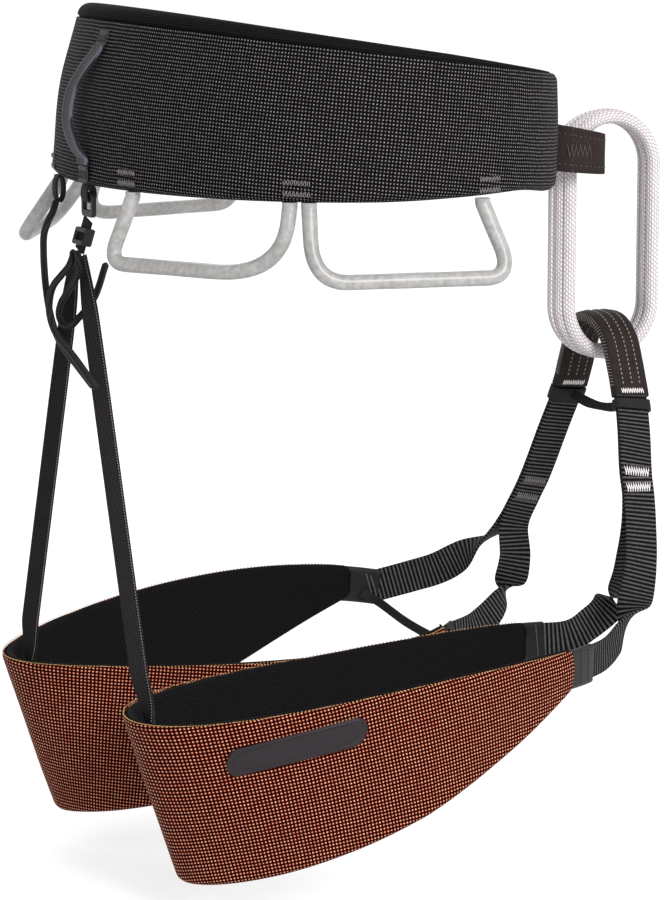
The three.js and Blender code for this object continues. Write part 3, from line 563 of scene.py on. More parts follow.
def ribbed_webbing(name, base, light):
    """Webbing whose ribs stand up in the mesh itself; the nodes add the yarns and a painted highlight along the rib
    crests, patchy with noise.
    """
    shader = Shader(name, base, 0.55, Specular_IOR_Level=0.03)
    u, v = shader.weave()
    crest = shader.math("POWER", shader.wave(v, RIB_PITCH), 2.5)
    yarns = shader.wave(u, 0.55)
    fuzz = shader.noise(700, 3.0)
    # painted highlight: the crests of the ribs are coloured lighter, broken up by noise
    crest_highlight = shader.times(crest, shader.scaled(fuzz, 0.8, 0.2))
    shader.set("Base Color", shader.mix(crest_highlight, base, light))
    shader.bump(yarns, 0.05)
    shader.bump(fuzz, 0.04)
    return shader.material


def woven(name, base, light, pitch_u, pitch_v, gloss=0.6, depth=0.12, shine=0.08):
    """Plain or herringbone weave: staggered rows of short yarns."""
    shader = Shader(name, base, gloss, Specular_IOR_Level=shine)
    u, v = shader.weave()
    column = shader.cell(u, pitch_u)
    lean = shader.times(shader.centred(u, pitch_u), 0.55)
    shifted = shader.plus(shader.scaled(column, pitch_v / 2, v), lean)
    across = shader.wave(shader.plus(u, pitch_u / 2), pitch_u)
    yarn = shader.math("SQRT", shader.times(shader.wave(shifted, pitch_v), across))
    tone = shader.scaled(shader.noise(150), 0.5, 0.75)
    tinted = shader.mix(tone, (0, 0, 0), light)
    shader.set("Base Color", shader.mix(yarn, base, tinted))
    shader.bump(yarn, depth)
    shader.bump(shader.noise(1500, 3.0), 0.03)
    return shader.material


def cover_fabric(name, base, light):
    """Tightly woven wear cover, with a fine diagonal grain."""
    shader = Shader(name, base, 0.7, Specular_IOR_Level=0.12)
    u, v = shader.weave()
    grain = shader.times(shader.wave(shader.plus(u, v), 0.7), shader.wave(v, 0.45))
    patchy = shader.times(grain, shader.noise(220, 3.0))
    shader.set("Base Color", shader.mix(patchy, base, light))
    shader.bump(grain, 0.05)
    shader.bump(shader.noise(180, 3.0), 0.12)
    return shader.material


def thread(name, colour):
    shader = Shader(name, colour, 0.55, Specular_IOR_Level=0.3)
    along = shader.noise(1800, 2.0)
    dull = tuple(c * 0.6 for c in colour)
    shader.set("Base Color", shader.mix(along, dull, colour))
    shader.bump(along, 0.05)
    return shader.material


def moulded(name, base, light, gloss, grain):
    """Moulded plastic or rubber with a fine uneven skin."""
    shader = Shader(name, base, gloss, Specular_IOR_Level=0.2)
    skin = shader.noise(grain, 4.0)
    broad = shader.noise(grain / 25, 2.0)
    shader.set("Base Color", shader.mix(broad, base, light))
    shader.set("Roughness", shader.scaled(skin, 0.2, gloss - 0.1))
    shader.bump(skin, 0.05)
    return shader.material


def clouded_tube(name, base, light):
    """Smooth tubing whose plastic is unevenly clear."""
    shader = Shader(name, base, 0.3, Specular_IOR_Level=0.35)
    cloud = shader.plus(shader.times(shader.noise(45, 3.0), 0.4),
                        shader.times(shader.noise(420, 4.0), 0.6))
    shader.set("Base Color", shader.mix(shader.fade(cloud, 0.3, 0.7), base, light))
    shader.set("Roughness", shader.scaled(cloud, 0.3, 0.2))
    shader.bump(shader.noise(700, 2.0), 0.03)
    return shader.material


def brushed_metal(name, base):
    shader = Shader(name, base, 0.34, Metallic=1.0)
    fine = shader.noise(1200, 3.0)
    shader.set("Roughness", shader.scaled(fine, 0.22, 0.24))
    shader.bump(fine, 0.01)
    return shader.material


BELT_MESH = spacer_mesh("belt_mesh", (0.003, 0.0024, 0.0027), (0.005, 0.0045, 0.0045),
                        (0.19, 0.18, 0.178), 1.55, 0.33)
LEG_MESH = spacer_mesh("leg_mesh", (0.004, 0.0001, 0.0001), (0.19, 0.004, 0.001),
                       (0.61, 0.355, 0.215), 1.66, 0.36)
LINING = fine_mesh("lining_mesh", (0.0025, 0.0022, 0.0025), (0.014, 0.0125, 0.014), 1.1)
# the lighter colour is a painted highlight on the rib crests
WEBBING_BLACK = ribbed_webbing("webbing", (0.002, 0.0018, 0.002), (0.12, 0.115, 0.12))
ELASTIC = woven("elastic", (0.004, 0.0035, 0.004), (0.026, 0.024, 0.026), 0.9, 1.2)
REAR_STRAP = woven("rear_strap", (0.003, 0.0027, 0.003), (0.026, 0.024, 0.025), 0.9, 1.3, shine=0.03)
BELAY_WEAVE = woven("belay_webbing", (0.30, 0.27, 0.29), (0.74, 0.70, 0.72), 1.25, 2.1, 0.65, 0.22)
HAUL_TAPE = woven("haul_tape", (0.003, 0.003, 0.006), (0.014, 0.014, 0.024), 0.8, 1.1, 0.4, 0.12, 0.2)
HAUL_EDGE = woven("haul_edge", (0.02, 0.02, 0.03), (0.13, 0.13, 0.17), 0.7, 0.9, 0.4, 0.12, 0.3)
TIE_IN_COVER = cover_fabric("tie_in_cover", (0.011, 0.007, 0.0065), (0.050, 0.036, 0.033))
BRIDGE_COVER = cover_fabric("bridge_cover", (0.008, 0.0055, 0.005), (0.055, 0.043, 0.039))
THREAD_WHITE = thread("thread_white", (0.75, 0.70, 0.70))
THREAD_GREY = thread("thread_grey", (0.16, 0.145, 0.15))
THREAD_BROWN = thread("thread_brown", (0.26, 0.22, 0.19))
THREAD_UMBER = thread("thread_umber", (0.085, 0.066, 0.058))
THREAD_DARK = thread("thread_dark", (0.022, 0.019, 0.020))
THREAD_CREAM = thread("thread_cream", (0.42, 0.27, 0.09))
GEAR_PLASTIC = clouded_tube("gear_tube", (0.205, 0.2, 0.195), (0.32, 0.314, 0.308))
PLASTIC = moulded("plastic", (0.006, 0.006, 0.0065), (0.013, 0.013, 0.014), 0.42, 1400)
RUBBER = moulded("patch", (0.010, 0.0075, 0.0095), (0.019, 0.015, 0.018), 0.5, 1100)
METAL = brushed_metal("metal", (0.55, 0.55, 0.56))


# ---------- places on the harness, as in the part ----------
def waist_point(angle, outset, z):
    c, s = np.cos(np.radians(angle)), np.sin(np.radians(angle))
    depth = np.where(c > 0, WAIST_FRONT, WAIST_BACK)
    nx, ny = c / depth, s / WAIST_SIDE
    out = (outset + BELT_FLARE * np.maximum(0, -c) * -z / FLARE_REACH) / np.hypot(nx, ny)
    flat = np.broadcast_arrays(depth * c + nx * out, WAIST_SIDE * s + ny * out, z)
    return np.stack(flat, -1)


def belt_top(angle):
    return BELT_TOP_MEAN - BELT_TOP_RISE * np.cos(np.radians(angle))


def corner_cut(distance, radius):
    inside = np.maximum(0, radius - distance)
    return radius - np.sqrt(radius**2 - inside**2)


def forwardness(angle):
    return 0.53 * (1 + np.cos(np.radians(angle)))


def outerness(angle):
    return (1 + np.sin(np.radians(angle))) / 2


def leg_top(leg, angle):
    f = forwardness(angle)
    outer = LEG_OUTER_RISE * np.sin(f * np.pi / 2)
    return LEG_BACK_TOP + mix(leg["inner_rise"] * f * f, outer, outerness(angle))


def leg_bottom(angle):
    rise = mix(LEG_INNER_BOTTOM_RISE, LEG_OUTER_BOTTOM_RISE, outerness(angle))
    return LEG_BACK_BOTTOM + rise * forwardness(angle) ** LEG_BOTTOM_POWER


def leg_point(leg, angle, outset, z):
    c, s = np.cos(np.radians(angle)), np.sin(np.radians(angle))
    nx, ny = c / LEG_LENGTH, s / LEG_WIDTH
    lean = LEG_TAPER * (leg_top(leg, angle) - z) * np.maximum(0, -c)
    out = (outset - lean) / np.hypot(nx, ny)
    x = leg["centre_x"] + LEG_LENGTH * c + nx * out
    y = leg["side"] * (LEG_CENTRE_Y + LEG_WIDTH * s + ny * out)
    return np.stack(np.broadcast_arrays(x, y, z), -1)


# ---------- padded bands ----------
FABRIC = 0.8
SEAM_OVERLAP = 1.5  # the lining starts this far before the seam
SEAM_TUCK, SEAM_RISE = 1.2, 1.6  # how deep it lies there, and how soon it is back at the surface
END_ROLL = 7  # the padding thins out this far from each end


def band_angles(start, end, per_degree, step):
    """Angles along a band, closer together near its rounded ends."""
    whole = (end - start) * per_degree
    near = np.concatenate([np.linspace(0, 2, 9), np.linspace(2.4, 24, 40)])
    middle = np.linspace(24, whole - 24, int((whole - 48) / step))[1:-1]
    at = np.concatenate([near, middle, whole - near[::-1]])
    return start + at / per_degree, np.minimum(at, whole - at)


def band_section(low, high, half, middle, crown):
    """A padded band's section from its lowest point round the outside: (outset, height)."""
    radius = min(half, (high - low) / 2)
    quarter = np.linspace(0, math.pi / 2, 8)
    over = np.linspace(0, math.pi, 15)
    face = np.linspace(0, 1, 44)
    height = mix(low + radius, high - radius, face)
    bulge = crown * np.sin(np.pi * face) ** 1.3
    parts = [
        (middle + half - radius + radius * np.sin(quarter), low + radius - radius * np.cos(quarter)),
        (middle + half + bulge, height),
        (middle + half - radius + radius * np.cos(over), high - radius + radius * np.sin(over)),
        (np.full(44, middle - half), height[::-1]),
        (middle - half + radius - radius * np.cos(quarter), low + radius - radius * np.sin(quarter)),
    ]
    path = np.hstack([np.vstack(part) for part in parts]).T
    keep = np.concatenate([[True], np.linalg.norm(np.diff(path, axis=0), axis=1) > 1e-6])
    return path[keep]


def fabric_rows(section, start, stop, rows, seam=None):
    """The outer and inner faces of a fabric that lies on a section between two distances.

    A fabric with a seam tucks in under the other one there.
    """
    along = lengths(section)
    at = np.linspace(start, stop, rows)
    tangent = unit(np.gradient(section, axis=0))
    point, normal = [np.stack([np.interp(at, along, part[:, k]) for k in (0, 1)], 1)
                     for part in (section, np.stack([tangent[:, 1], -tangent[:, 0]], 1))]
    depth = 0
    if seam is not None:
        depth = (SEAM_TUCK * (1 - smoothstep((at - seam) / SEAM_RISE)))[:, None]
    return point - normal * depth, point - normal * (depth + FABRIC), at


def fabric_face(place, angles, rows, side, u):
    """One face of a fabric as a grid of points, slightly uneven."""
    grid = []
    for i, row in enumerate(rows):
        wave = soft_noise(u[i], row[3], 0.22)
        grid.append(place(angles[i], row[side][:, 0] + wave, row[side][:, 1]))
    return np.array(grid)


def fabric_weave(rows, u, slope, way, tilt):
    """The weave's rows follow the seam, turned by tilt, and its columns are square to them."""
    uv = []
    for i, row in enumerate(rows):
        down = way * (row[3] - row[0])
        uv.append(np.stack([u[i] - slope[i] * down - tilt * down, down + tilt * u[i]], 1))
    return np.array(uv)


def padded_band(name, body, place, angles, section_at, seam_at, looks, nodes, slots, fill, tilt=0.0):
    """The outer cover and the lining of a padded band, as two fabrics that meet at a seam."""
    cover, lining = [], []
    for i in range(len(angles)):
        section = section_at(i)
        along = lengths(section)
        top = int(np.argmax(section[:, 1]))
        seam = np.interp(seam_at[i], section[: top + 1, 1], along[: top + 1])
        cover.append((seam, *fabric_rows(section, 0, seam, 76)))
        lining.append((seam, *fabric_rows(section, seam - SEAM_OVERLAP, along[-1], 96, seam)))
    middle = np.array([place(angle, 0, section_at(i)[:, 1].mean()) for i, angle in enumerate(angles)])
    u = lengths(middle)
    slope = np.gradient(seam_at, u)
    parts = zip(("cover", "lining"), (cover, lining), looks, nodes, slots, (-1, 1))
    for part, rows, look, hidden, slot, way in parts:
        faces = [fabric_face(place, angles, rows, side, u) for side in (1, 2)]
        piece = shell(f"{name}_{part}", *faces, fabric_weave(rows, u, slope, way, tilt), look)
        place_piece(piece, body, hidden, slot)
        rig.padded(piece, fill)


def roll(distance):
    """How full the padding is at a distance from the end: 0 at the very end, 1 inside."""
    inside = np.clip(distance / END_ROLL, 0, 1)
    return np.sqrt(1 - (1 - inside) ** 2)


LEG_CORNER = 4
LEG_SEAM_DROP = 0.35
LEG_WEAVE_TILT = -0.08
LOW_SIDE, LOW_FRONT = 1.5, 3.0  # the lower edge rises a little at the sides and sags towards the front
RISE_FROM, RISE_OVER, SAG_FROM, SAG_OVER = 70, 40, 112, 30  # degrees from the back


def belt():
    angles, ends = band_angles(BELT_START, BELT_END, 1.9, 1.5)
    cosine = np.cos(np.radians(angles))
    edge = belt_top(angles) - corner_cut(ends, TOP_CORNER)
    high = edge + LINING_PROUD * (1 - cosine)
    from_back = np.abs(angles - 180)
    frontness = smoothstep((from_back - SAG_FROM) / SAG_OVER)
    droop = LOW_FRONT * frontness
    lift = LOW_SIDE * smoothstep((from_back - RISE_FROM) / RISE_OVER) * (1 - frontness)
    low = BELT_BOTTOM + lift - droop + corner_cut(ends, 0.6 * BOTTOM_CORNER)
    half = np.maximum(BELT_THICK / 2 * roll(ends), 0.05)
    crown = (0.7 + 2.0 * np.maximum(0, -cosine)) * roll(ends)

    def section_at(i):
        return band_section(low[i], high[i], half[i], -BELT_THICK / 2, crown[i])

    nodes = (("belt_shell", "belt_foam"), ("belt_lining", "belt_webbing"))
    padded_band("belt", "waist_belt", waist_point, angles, section_at, edge, (BELT_MESH, LINING),
                nodes, ("belt_mesh", "lining"), 0.7)


def leg_loop(name, leg):
    angles, ends = band_angles(LEG_OUTER_END, LEG_INNER_END, 1.6, 1.2)
    high = leg_top(leg, angles) - corner_cut(ends, LEG_CORNER)
    low = leg_bottom(angles) + corner_cut(ends, LEG_CORNER)
    half = np.maximum(LEG_THICK / 2 * roll(ends), 0.05)

    def section_at(i):
        return band_section(low[i], high[i], half[i], -LEG_THICK / 2, 0.7 * roll(ends[i]))

    def place(angle, outset, z):
        return leg_point(leg, angle, outset, z)

    nodes = ((f"leg_shell_{name}", f"leg_foam_{name}"), (f"leg_lining_{name}",))
    padded_band(f"leg_{name}", f"leg_loop_{name}", place, angles, section_at, high - LEG_SEAM_DROP,
                (LEG_MESH, LINING), nodes, ("leg_mesh", "lining"), 0.5, LEG_WEAVE_TILT)


# ---------- stitching ----------
THREAD_SIDES = 6


def threads(name, centres, directions, normals, length, material, body, size=0.5, lift=0.12):
    """Short stitches, each a thread that dives into the cloth at both ends."""
    centres, directions = np.asarray(centres, float), unit(directions)
    normals = unit(normals)
    lengths_each = np.broadcast_to(np.asarray(length, float), len(centres))
    side = np.cross(directions, normals)
    steps = np.linspace(-1, 1, 7)
    c, s = circle(THREAD_SIDES)
    vertices, faces = [], []
    for i, (centre, along, across, up) in enumerate(zip(centres, directions, side, normals)):
        for t in steps:
            arch = math.sqrt(max(0, 1 - t * t))
            radius = size / 2 * (0.35 + 0.65 * arch)
            middle = centre + along * t * lengths_each[i] / 2 + up * (lift * arch * 2 - lift)
            round_it = np.outer(c, across) + np.outer(s, up)
            vertices.append(middle + radius * round_it)
        first = i * len(steps) * THREAD_SIDES
        last = first + (len(steps) - 1) * THREAD_SIDES
        for ring in range(first, last, THREAD_SIDES):
            for j in range(THREAD_SIDES):
                a, b = ring + j, ring + (j + 1) % THREAD_SIDES
                faces.append([a, b, b + THREAD_SIDES, a + THREAD_SIDES])
        faces.append([first + j for j in reversed(range(THREAD_SIDES))])
        faces.append([last + j for j in range(THREAD_SIDES)])
    piece = mesh_object(name, np.vstack(vertices), faces, None, material)
    return place_piece(piece, body)


def dashed_row(name, path, normal, material, body, pitch=3.0, share=0.62, size=0.45):
    """A line of running stitches along a path."""
    path, normals = respace(np.asarray(path, float), pitch, np.broadcast_to(normal, np.shape(path)))
    along = np.gradient(path, axis=0)
    return threads(name, path, along, normals, pitch * share, material, body, size)


def bartack(name, origin, across, along, normal, width, height, material, body, pitch=0.62, size=0.5):
    """A block of dense stitches. They lie along the strap, side by side across its width."""
    centres, ways, sizes = [], [], []
    for k in range(int(width / pitch)):
        uneven = 0.5 * math.sin(k * 2.7) + 0.3 * math.sin(k * 1.3)
        lean = 0.22 if k % 2 else -0.22
        at = (k + 0.5) * pitch - width / 2
        centres.append(origin + across * at + along * (0.3 * uneven))
        ways.append(along + across * lean)
        sizes.append(height * (1 + 0.12 * uneven))
    normals = np.broadcast_to(normal, (len(centres), 3))
    return threads(name, centres, ways, normals, sizes, material, body, size, 0.18)


# ---------- waist: tie-in ring, belay loop, front webbing and buckle ----------
UP = np.array([0.0, 0.0, 1.0])
ACROSS = np.array([1.0, 0.0, 0.0])
LEFTWARDS = np.array([0.0, 1.0, 0.0])


RING_STEPS = 140
COVER_STEPS = 55  # of the ring's steps that its cover takes in, to each side of the front
TIE_IN_TACK_X = 126


def ring_path(outset):
    reach = (RING_FRONT_X - RING_REAR_X) / 2
    flat = [squared(values, 0.77) for values in circle(RING_STEPS)]
    path = np.stack([RING_REAR_X + reach + reach * flat[0], RING_HALF_WIDTH * flat[1]], 1)
    ways = unit(np.roll(path, -1, 0) - np.roll(path, 1, 0))
    return path + outset * np.stack([ways[:, 1], -ways[:, 0]], 1)


def ring_front(outset):
    """The part of the ring's path that its cover takes in."""
    around = ring_path(outset)
    return np.vstack([around[-COVER_STEPS:], around[: COVER_STEPS + 1]])


def ring_heights(x):
    forward = (x - RING_REAR_X) / (RING_FRONT_X - RING_REAR_X)
    return RING_BOTTOM - (RING_DROP - RING_NARROWING) * forward, RING_TOP - RING_DROP * forward


def upright(path, thick, heights):
    """A path seen from above, at the middle of its strip's height, with the strip's sections."""
    low, high = heights
    low, high = np.broadcast_to(low, len(path)), np.broadcast_to(high, len(path))
    middle = np.column_stack([path, (low + high) / 2])
    return middle, np.array([tape(h, thick, 17) for h in high - low])


def tie_in():
    around = ring_path(0)
    path, section = upright(around, RING_WEB, ring_heights(around[:, 0]))
    strip("tie_in_ring", "waist_belt", "webbing", path, UP, section, WEBBING_BLACK,
          closed=True, ribs=(RIB_PITCH, 0.12))
    front = respace(ring_front(RING_WEB / 2 + 0.3 + COVER_WALL / 2), 0.6)
    path, section = upright(front, COVER_WALL, ring_heights(front[:, 0]))
    ripple = 0.12 * np.sin(lengths(path) / 2.1)[:, None]
    section[:, :, 1] += ripple * (1 - (section[:, :, 0] / 12) ** 2)
    strip("tie_in_cover", "waist_belt", "cover", path, UP, section, TIE_IN_COVER)
    tie_in_stitches(ring_front(RING_WEB / 2 + 0.35 + COVER_WALL))


def tie_in_stitches(face):
    """Two rows along the cover, a bartack on each side and a row across each end."""
    ways = unit(np.gradient(face, axis=0))
    normal = np.column_stack([ways[:, 1], -ways[:, 0], np.zeros(len(face))])
    low, high = ring_heights(face[:, 0])
    for label, share in (("lower", 0.17), ("upper", 0.83)):
        row = np.column_stack([face, mix(low, high, share)])
        dashed_row(f"tie_in_stitches_{label}", row, normal, THREAD_UMBER, "waist_belt", 2.6, 0.45, 0.4)
    from_tack = np.abs(face[:, 0] - TIE_IN_TACK_X)
    right = int(np.argmin(from_tack[:COVER_STEPS]))
    left = COVER_STEPS + int(np.argmin(from_tack[COVER_STEPS:]))
    for side, at in (("right", right), ("left", left)):
        centre = np.array([*face[at], (low[at] + high[at]) / 2])
        bartack(f"tie_in_bartack_{side}", centre, np.array([*ways[at], 0]), UP, normal[at], 13, 6.5,
                THREAD_UMBER, "waist_belt", 1.1, 0.36)
    for side, at in (("right", 14), ("left", len(face) - 15)):
        edge = np.array([[*face[at], z] for z in np.linspace(low[at] + 1, high[at] - 1, 12)])
        dashed_row(f"tie_in_edge_{side}", edge, normal[at], THREAD_UMBER, "waist_belt", 2.4, 0.5)


BELAY_GROOVES = (-2.6, 2.6)  # across the webbing


def belay_path():
    straight = BELAY_HALF_HEIGHT - BELAY_RADIUS
    x, _, z = BELAY_CENTRE
    turn = np.radians(np.linspace(0, 180, 41))
    upper = [(x + BELAY_RADIUS * np.cos(t), 0, z + straight + BELAY_RADIUS * np.sin(t)) for t in turn]
    lower = [(2 * x - px, 0, 2 * z - pz) for px, _, pz in upper]
    loop = np.array(upper + lower)
    closed = respace(np.vstack([loop, loop[:1]]), 0.7)
    return closed[:-1]


def belay_loop():
    path = belay_path()
    c, s = circle(72)
    width = BELAY_WIDTH / 2 * squared(c, 0.7)
    groove = sum(0.9 * np.exp(-(((width - at) / 0.7) ** 2)) for at in BELAY_GROOVES)
    thick = (BELAY_THICK / 2 * np.abs(s) ** 0.75 - groove) * np.sign(s)
    rearward = smoothstep((BELAY_CENTRE[0] - path[:, 0]) / BELAY_RADIUS)
    across = LEFTWARDS + rearward[:, None] * np.array([-0.42, 0, 0])
    strip("belay_loop", "belay_loop", "belay_webbing", path, across, np.stack([width, thick], 1),
          BELAY_WEAVE, closed=True)


def buckle_xy(along, out):
    c, s = math.cos(BUCKLE_TURN), math.sin(BUCKLE_TURN)
    return (BUCKLE_XY[0] + along * c + out * s, BUCKLE_XY[1] + along * s - out * c)


SLOT_AT, STRAP_OFFSET = 9.2, 2.6
TAIL_OUTSET = 2.6  # of the doubled-back strap's middle, outside the belt
SLOT_TURN = ((13.4, -1), (11, -0.85), (9.6, -0.45), (SLOT_AT, 0), (9.6, 0.45), (11, 0.85), (13.4, 1))
INNER_LINE = -3.05  # of the webbing's middle, inside the belt's cover
STRAP_HEIGHTS = (WEBBING_MID - BELT_WEBBING_HEIGHT / 2, WEBBING_MID + BELT_WEBBING_HEIGHT / 2)


def waist_xy(angle, outset):
    return tuple(waist_point(angle, outset, WEBBING_MID)[:2])


def flat_strip(name, body, places):
    """Waist webbing through places seen from above; returns its path."""
    flat = respace(catmull([(x, y, 0) for x, y in places], 12), 0.4)[:, :2]
    path, section = upright(flat, WEBBING, STRAP_HEIGHTS)
    strip(name, body, "webbing", path, UP, section, WEBBING_BLACK, ribs=(RIB_PITCH, 0.14))
    return path


def waist_webbing():
    through = [buckle_xy(-along, out * STRAP_OFFSET) for along, out in SLOT_TURN]
    flat_strip("front_webbing", "waist_belt", [
        waist_xy(-14.5, INNER_LINE), (101.5, -21), (107.4, -11), (110.1, 0), (108, 11),
        buckle_xy(-23, -STRAP_OFFSET), *through, buckle_xy(-20, STRAP_OFFSET)])
    through = [buckle_xy(along, out * STRAP_OFFSET) for along, out in SLOT_TURN]
    flat_strip("waist_strap", "waist_belt", [
        *[waist_xy(angle, INNER_LINE) for angle in (44, 39, 34, 30.5, 27)],
        buckle_xy(18, -STRAP_OFFSET - 0.4), *through, buckle_xy(19, STRAP_OFFSET + 0.3),
        waist_xy(29, TAIL_OUTSET + 0.6), *[waist_xy(angle, TAIL_OUTSET) for angle in (36, 43, 50)]])
    tail = flat_strip("strap_tail", "strap_tail",
                      [waist_xy(angle, TAIL_OUTSET) for angle in (50.7, 56, 62, 68, 74, 80)])
    end = unit(tail[-1] - tail[-8])
    out = np.cross(end, UP)
    bartack("tail_bartack", tail[-14] + out * (WEBBING / 2 + 0.1), UP, end, out, 17, 3.5, THREAD_GREY,
            "strap_tail")
    for label, angle in (("front", 35.8), ("rear", 45.8)):
        keeper(label, angle)


def keeper(label, angle):
    """An elastic band round the doubled strap."""
    low, high = STRAP_HEIGHTS[0] - 0.9, STRAP_HEIGHTS[1] + 0.9
    near, far = TAIL_OUTSET - WEBBING / 2 - 0.75, TAIL_OUTSET + WEBBING / 2 + 0.8
    c, s = [0.5 + 0.5 * squared(values, 0.25) for values in circle(64)]
    corners = waist_point(angle, mix(near, far, c), mix(low, high, s))
    path = respace(np.vstack([corners, corners[:1]]), 0.6)[:-1]
    ahead = (waist_point(angle + 1, TAIL_OUTSET, WEBBING_MID)
             - waist_point(angle - 1, TAIL_OUTSET, WEBBING_MID))
    strip(f"tail_keeper_{label}", "waist_belt", "elastic", path, ahead, tape(6.8, 0.8), ELASTIC,
          closed=True)


def rounded_outline(x, y, width, height, radius):
    corners = []
    for k, (sx, sy) in enumerate(((1, 1), (-1, 1), (-1, -1), (1, -1))):
        for j in range(7):
            t = math.pi / 2 * (k + j / 6)
            corners.append((x + sx * (width / 2 - radius) + radius * math.cos(t),
                            y + sy * (height / 2 - radius) + radius * math.sin(t)))
    return corners


def plate(name, outline, holes, thick, material, turn, at, edge=0.35):
    """A flat plate with holes and softened edges. Each outline is x, y, width, height, corner radius."""
    data = bpy.data.curves.new(name, "CURVE")
    data.dimensions = "2D"
    data.fill_mode = "BOTH"
    data.extrude = (thick / 2 - edge) * MM
    data.bevel_depth = edge * MM
    data.bevel_resolution = 3
    data.offset = -edge * MM
    for shape in (outline, *holes):
        corners = rounded_outline(*shape)
        spline = data.splines.new("POLY")
        spline.points.add(len(corners) - 1)
        for point, (x, y) in zip(spline.points, corners):
            point.co = (x * MM, y * MM, 0, 1)
        spline.use_cyclic_u = True
    data.materials.append(material)
    piece = new_object(name, data)
    piece.rotation_euler = (math.pi / 2, 0, turn)
    piece.location = Vector(at) * MM
    return piece


def buckle():
    height = BELT_WEBBING_HEIGHT + 1.4
    slots = [(side * SLOT_AT, 0, 4.5, height, 1) for side in (-1, 1)]
    frame_plate = plate("buckle_frame", (0, 0, 30, 30, 4), slots, 2, METAL, BUCKLE_TURN,
                        (*BUCKLE_XY, WEBBING_MID))
    place_piece(frame_plate, "waist_belt", ["buckle_frame"], "metal")
    slider = plate("buckle_slider", (0, 0, 10, 28, 2), [(0, 0, 3.5, 16, 1)], 1.6, METAL, BUCKLE_TURN,
                   (*buckle_xy(-0.5, 2.1), WEBBING_MID), 0.3)
    place_piece(slider, "buckle_slider", ["buckle_slider"], "metal")


# ---------- leg bridge ----------
ARCH = [(150.3, -10, -107.5), (150, 0, -105.5), (150.3, 10, -107.5)]
RIGHT_RISER = [(141.5, -53.5, -183), (142.5, -49, -172.5), (148, -37, -154),
               (150.6, -29, -140), (151, -22.5, -125), (150.8, -17.5, -114.5)]
LEFT_RISER = [(150.8, 17.5, -114.5), (151, 22.5, -125), (150.2, 29, -142), (146.5, 38, -164),
              (141.5, 48, -190.5), (138.5, 53, -202)]
RISERS = RIGHT_RISER + ARCH + LEFT_RISER
COVER_FROM, COVER_TO = 3, 11  # the risers' points between which the cover lies
LINK_ROUTE = [(150, -25.6, -144), (150, -12, -147.5), (150, 8, -148.5), (150, 25.6, -146.5)]
OUTER_TAB_END, INNER_TAB_END = LEG_OUTER_END - 9.3, LEG_INNER_END + 6.3


def tab_end(side, angle, beyond):
    leg = LEGS[side]
    return tuple(leg_point(leg, angle + beyond, -0.6 - TAB_THICK / 2,
                           leg_top(leg, angle) - 0.5 - TAB_HEIGHT / 2))


STRANDS = {
    "outer": (
        [tab_end("right", OUTER_TAB_END, 3.5), (103, -94.5, -245.5), (113, -88, -241),
         (121.5, -81, -235.5), (129, -74, -226), (135.5, -66.5, -211), (139.5, -58.6, -194)],
        [(134.4, 60, -215), (128, 71, -225), (119.5, 80.5, -233.5), (109, 88, -240.5),
         (97.5, 95.3, -245), tab_end("left", OUTER_TAB_END, 3.5)]),
    "inner": (
        [tab_end("right", INNER_TAB_END, -3), (110, -44.5, -248.5), (120, -45, -243.5), (130, -46, -236),
         (137.5, -48.5, -224), (139.6, -52.5, -209), (139.7, -56.2, -194)],
        [(134.8, 57, -215.5), (133.5, 53, -231), (128, 49, -245), (118.5, 46, -255.5),
         (108, 44.5, -262), tab_end("left", INNER_TAB_END, -3)]),
}
END_WAYS = [(0.1, 0, 1), (0.1, 0, 1), (0.1, 0, 1), (0.5, 0, 0.87), (0.9, 0, 0.45)]


def bridge_strand(label, lift):
    right, left = STRANDS[label]
    points = [*right, *RISERS, *left]
    ways = np.tile(ACROSS, (len(points), 1))
    for i, way in enumerate(END_WAYS):
        ways[i] = ways[-1 - i] = way
    path = catmull(points, 20)
    share = np.linspace(0, len(points) - 1, len(path))
    across = np.stack([np.interp(share, range(len(points)), ways[:, k]) for k in range(3)], 1)
    path, across = respace(path, 0.4, across)
    section = tape(LEG_WEB_WIDTH, LEG_WEB_THICK, 15)
    section[:, 1] += lift
    strip(f"bridge_{label}_webbing", "leg_bridge", "webbing", path, across, section, WEBBING_BLACK,
          ribs=(RIB_PITCH, 0.24))


def riser_frame(at):
    """Point, direction along the risers, and outward face at a place between riser points."""
    path = catmull(RISERS, 16)
    k = int(round(at * 16))
    along = unit(path[min(k + 1, len(path) - 1)] - path[max(k - 1, 0)])
    side = unit(ACROSS - along * along[0])
    return path[k], along, side, np.cross(along, side)


def riser_sleeve(name, start, stop, wall, material, slot, bulge):
    """A sleeve round both layers of the risers, a little uneven along its length."""
    path = respace(catmull(RISERS, 16)[int(start * 16): int(stop * 16) + 1], 0.5)
    width = LEG_WEB_WIDTH + 2 * SLEEVE_ROOM + 2 * wall
    thick = 2 * LEG_WEB_THICK + LAYER_GAP + 2 * SLEEVE_ROOM + 2 * wall
    c, s = circle(40)
    section = np.stack([width / 2 * squared(c, 0.35), thick / 2 * squared(s, 0.6)], 1)
    sections = np.repeat(section[None], len(path), 0)
    far = lengths(path)
    sections[:, :, 1] *= (1 + bulge * np.sin(far / 3.1))[:, None]
    sections[:, :, 0] *= (1 + bulge * 0.2 * np.sin(far / 2.3 + 1))[:, None]
    strip(name, "leg_bridge", slot, path, ACROSS, sections, material)


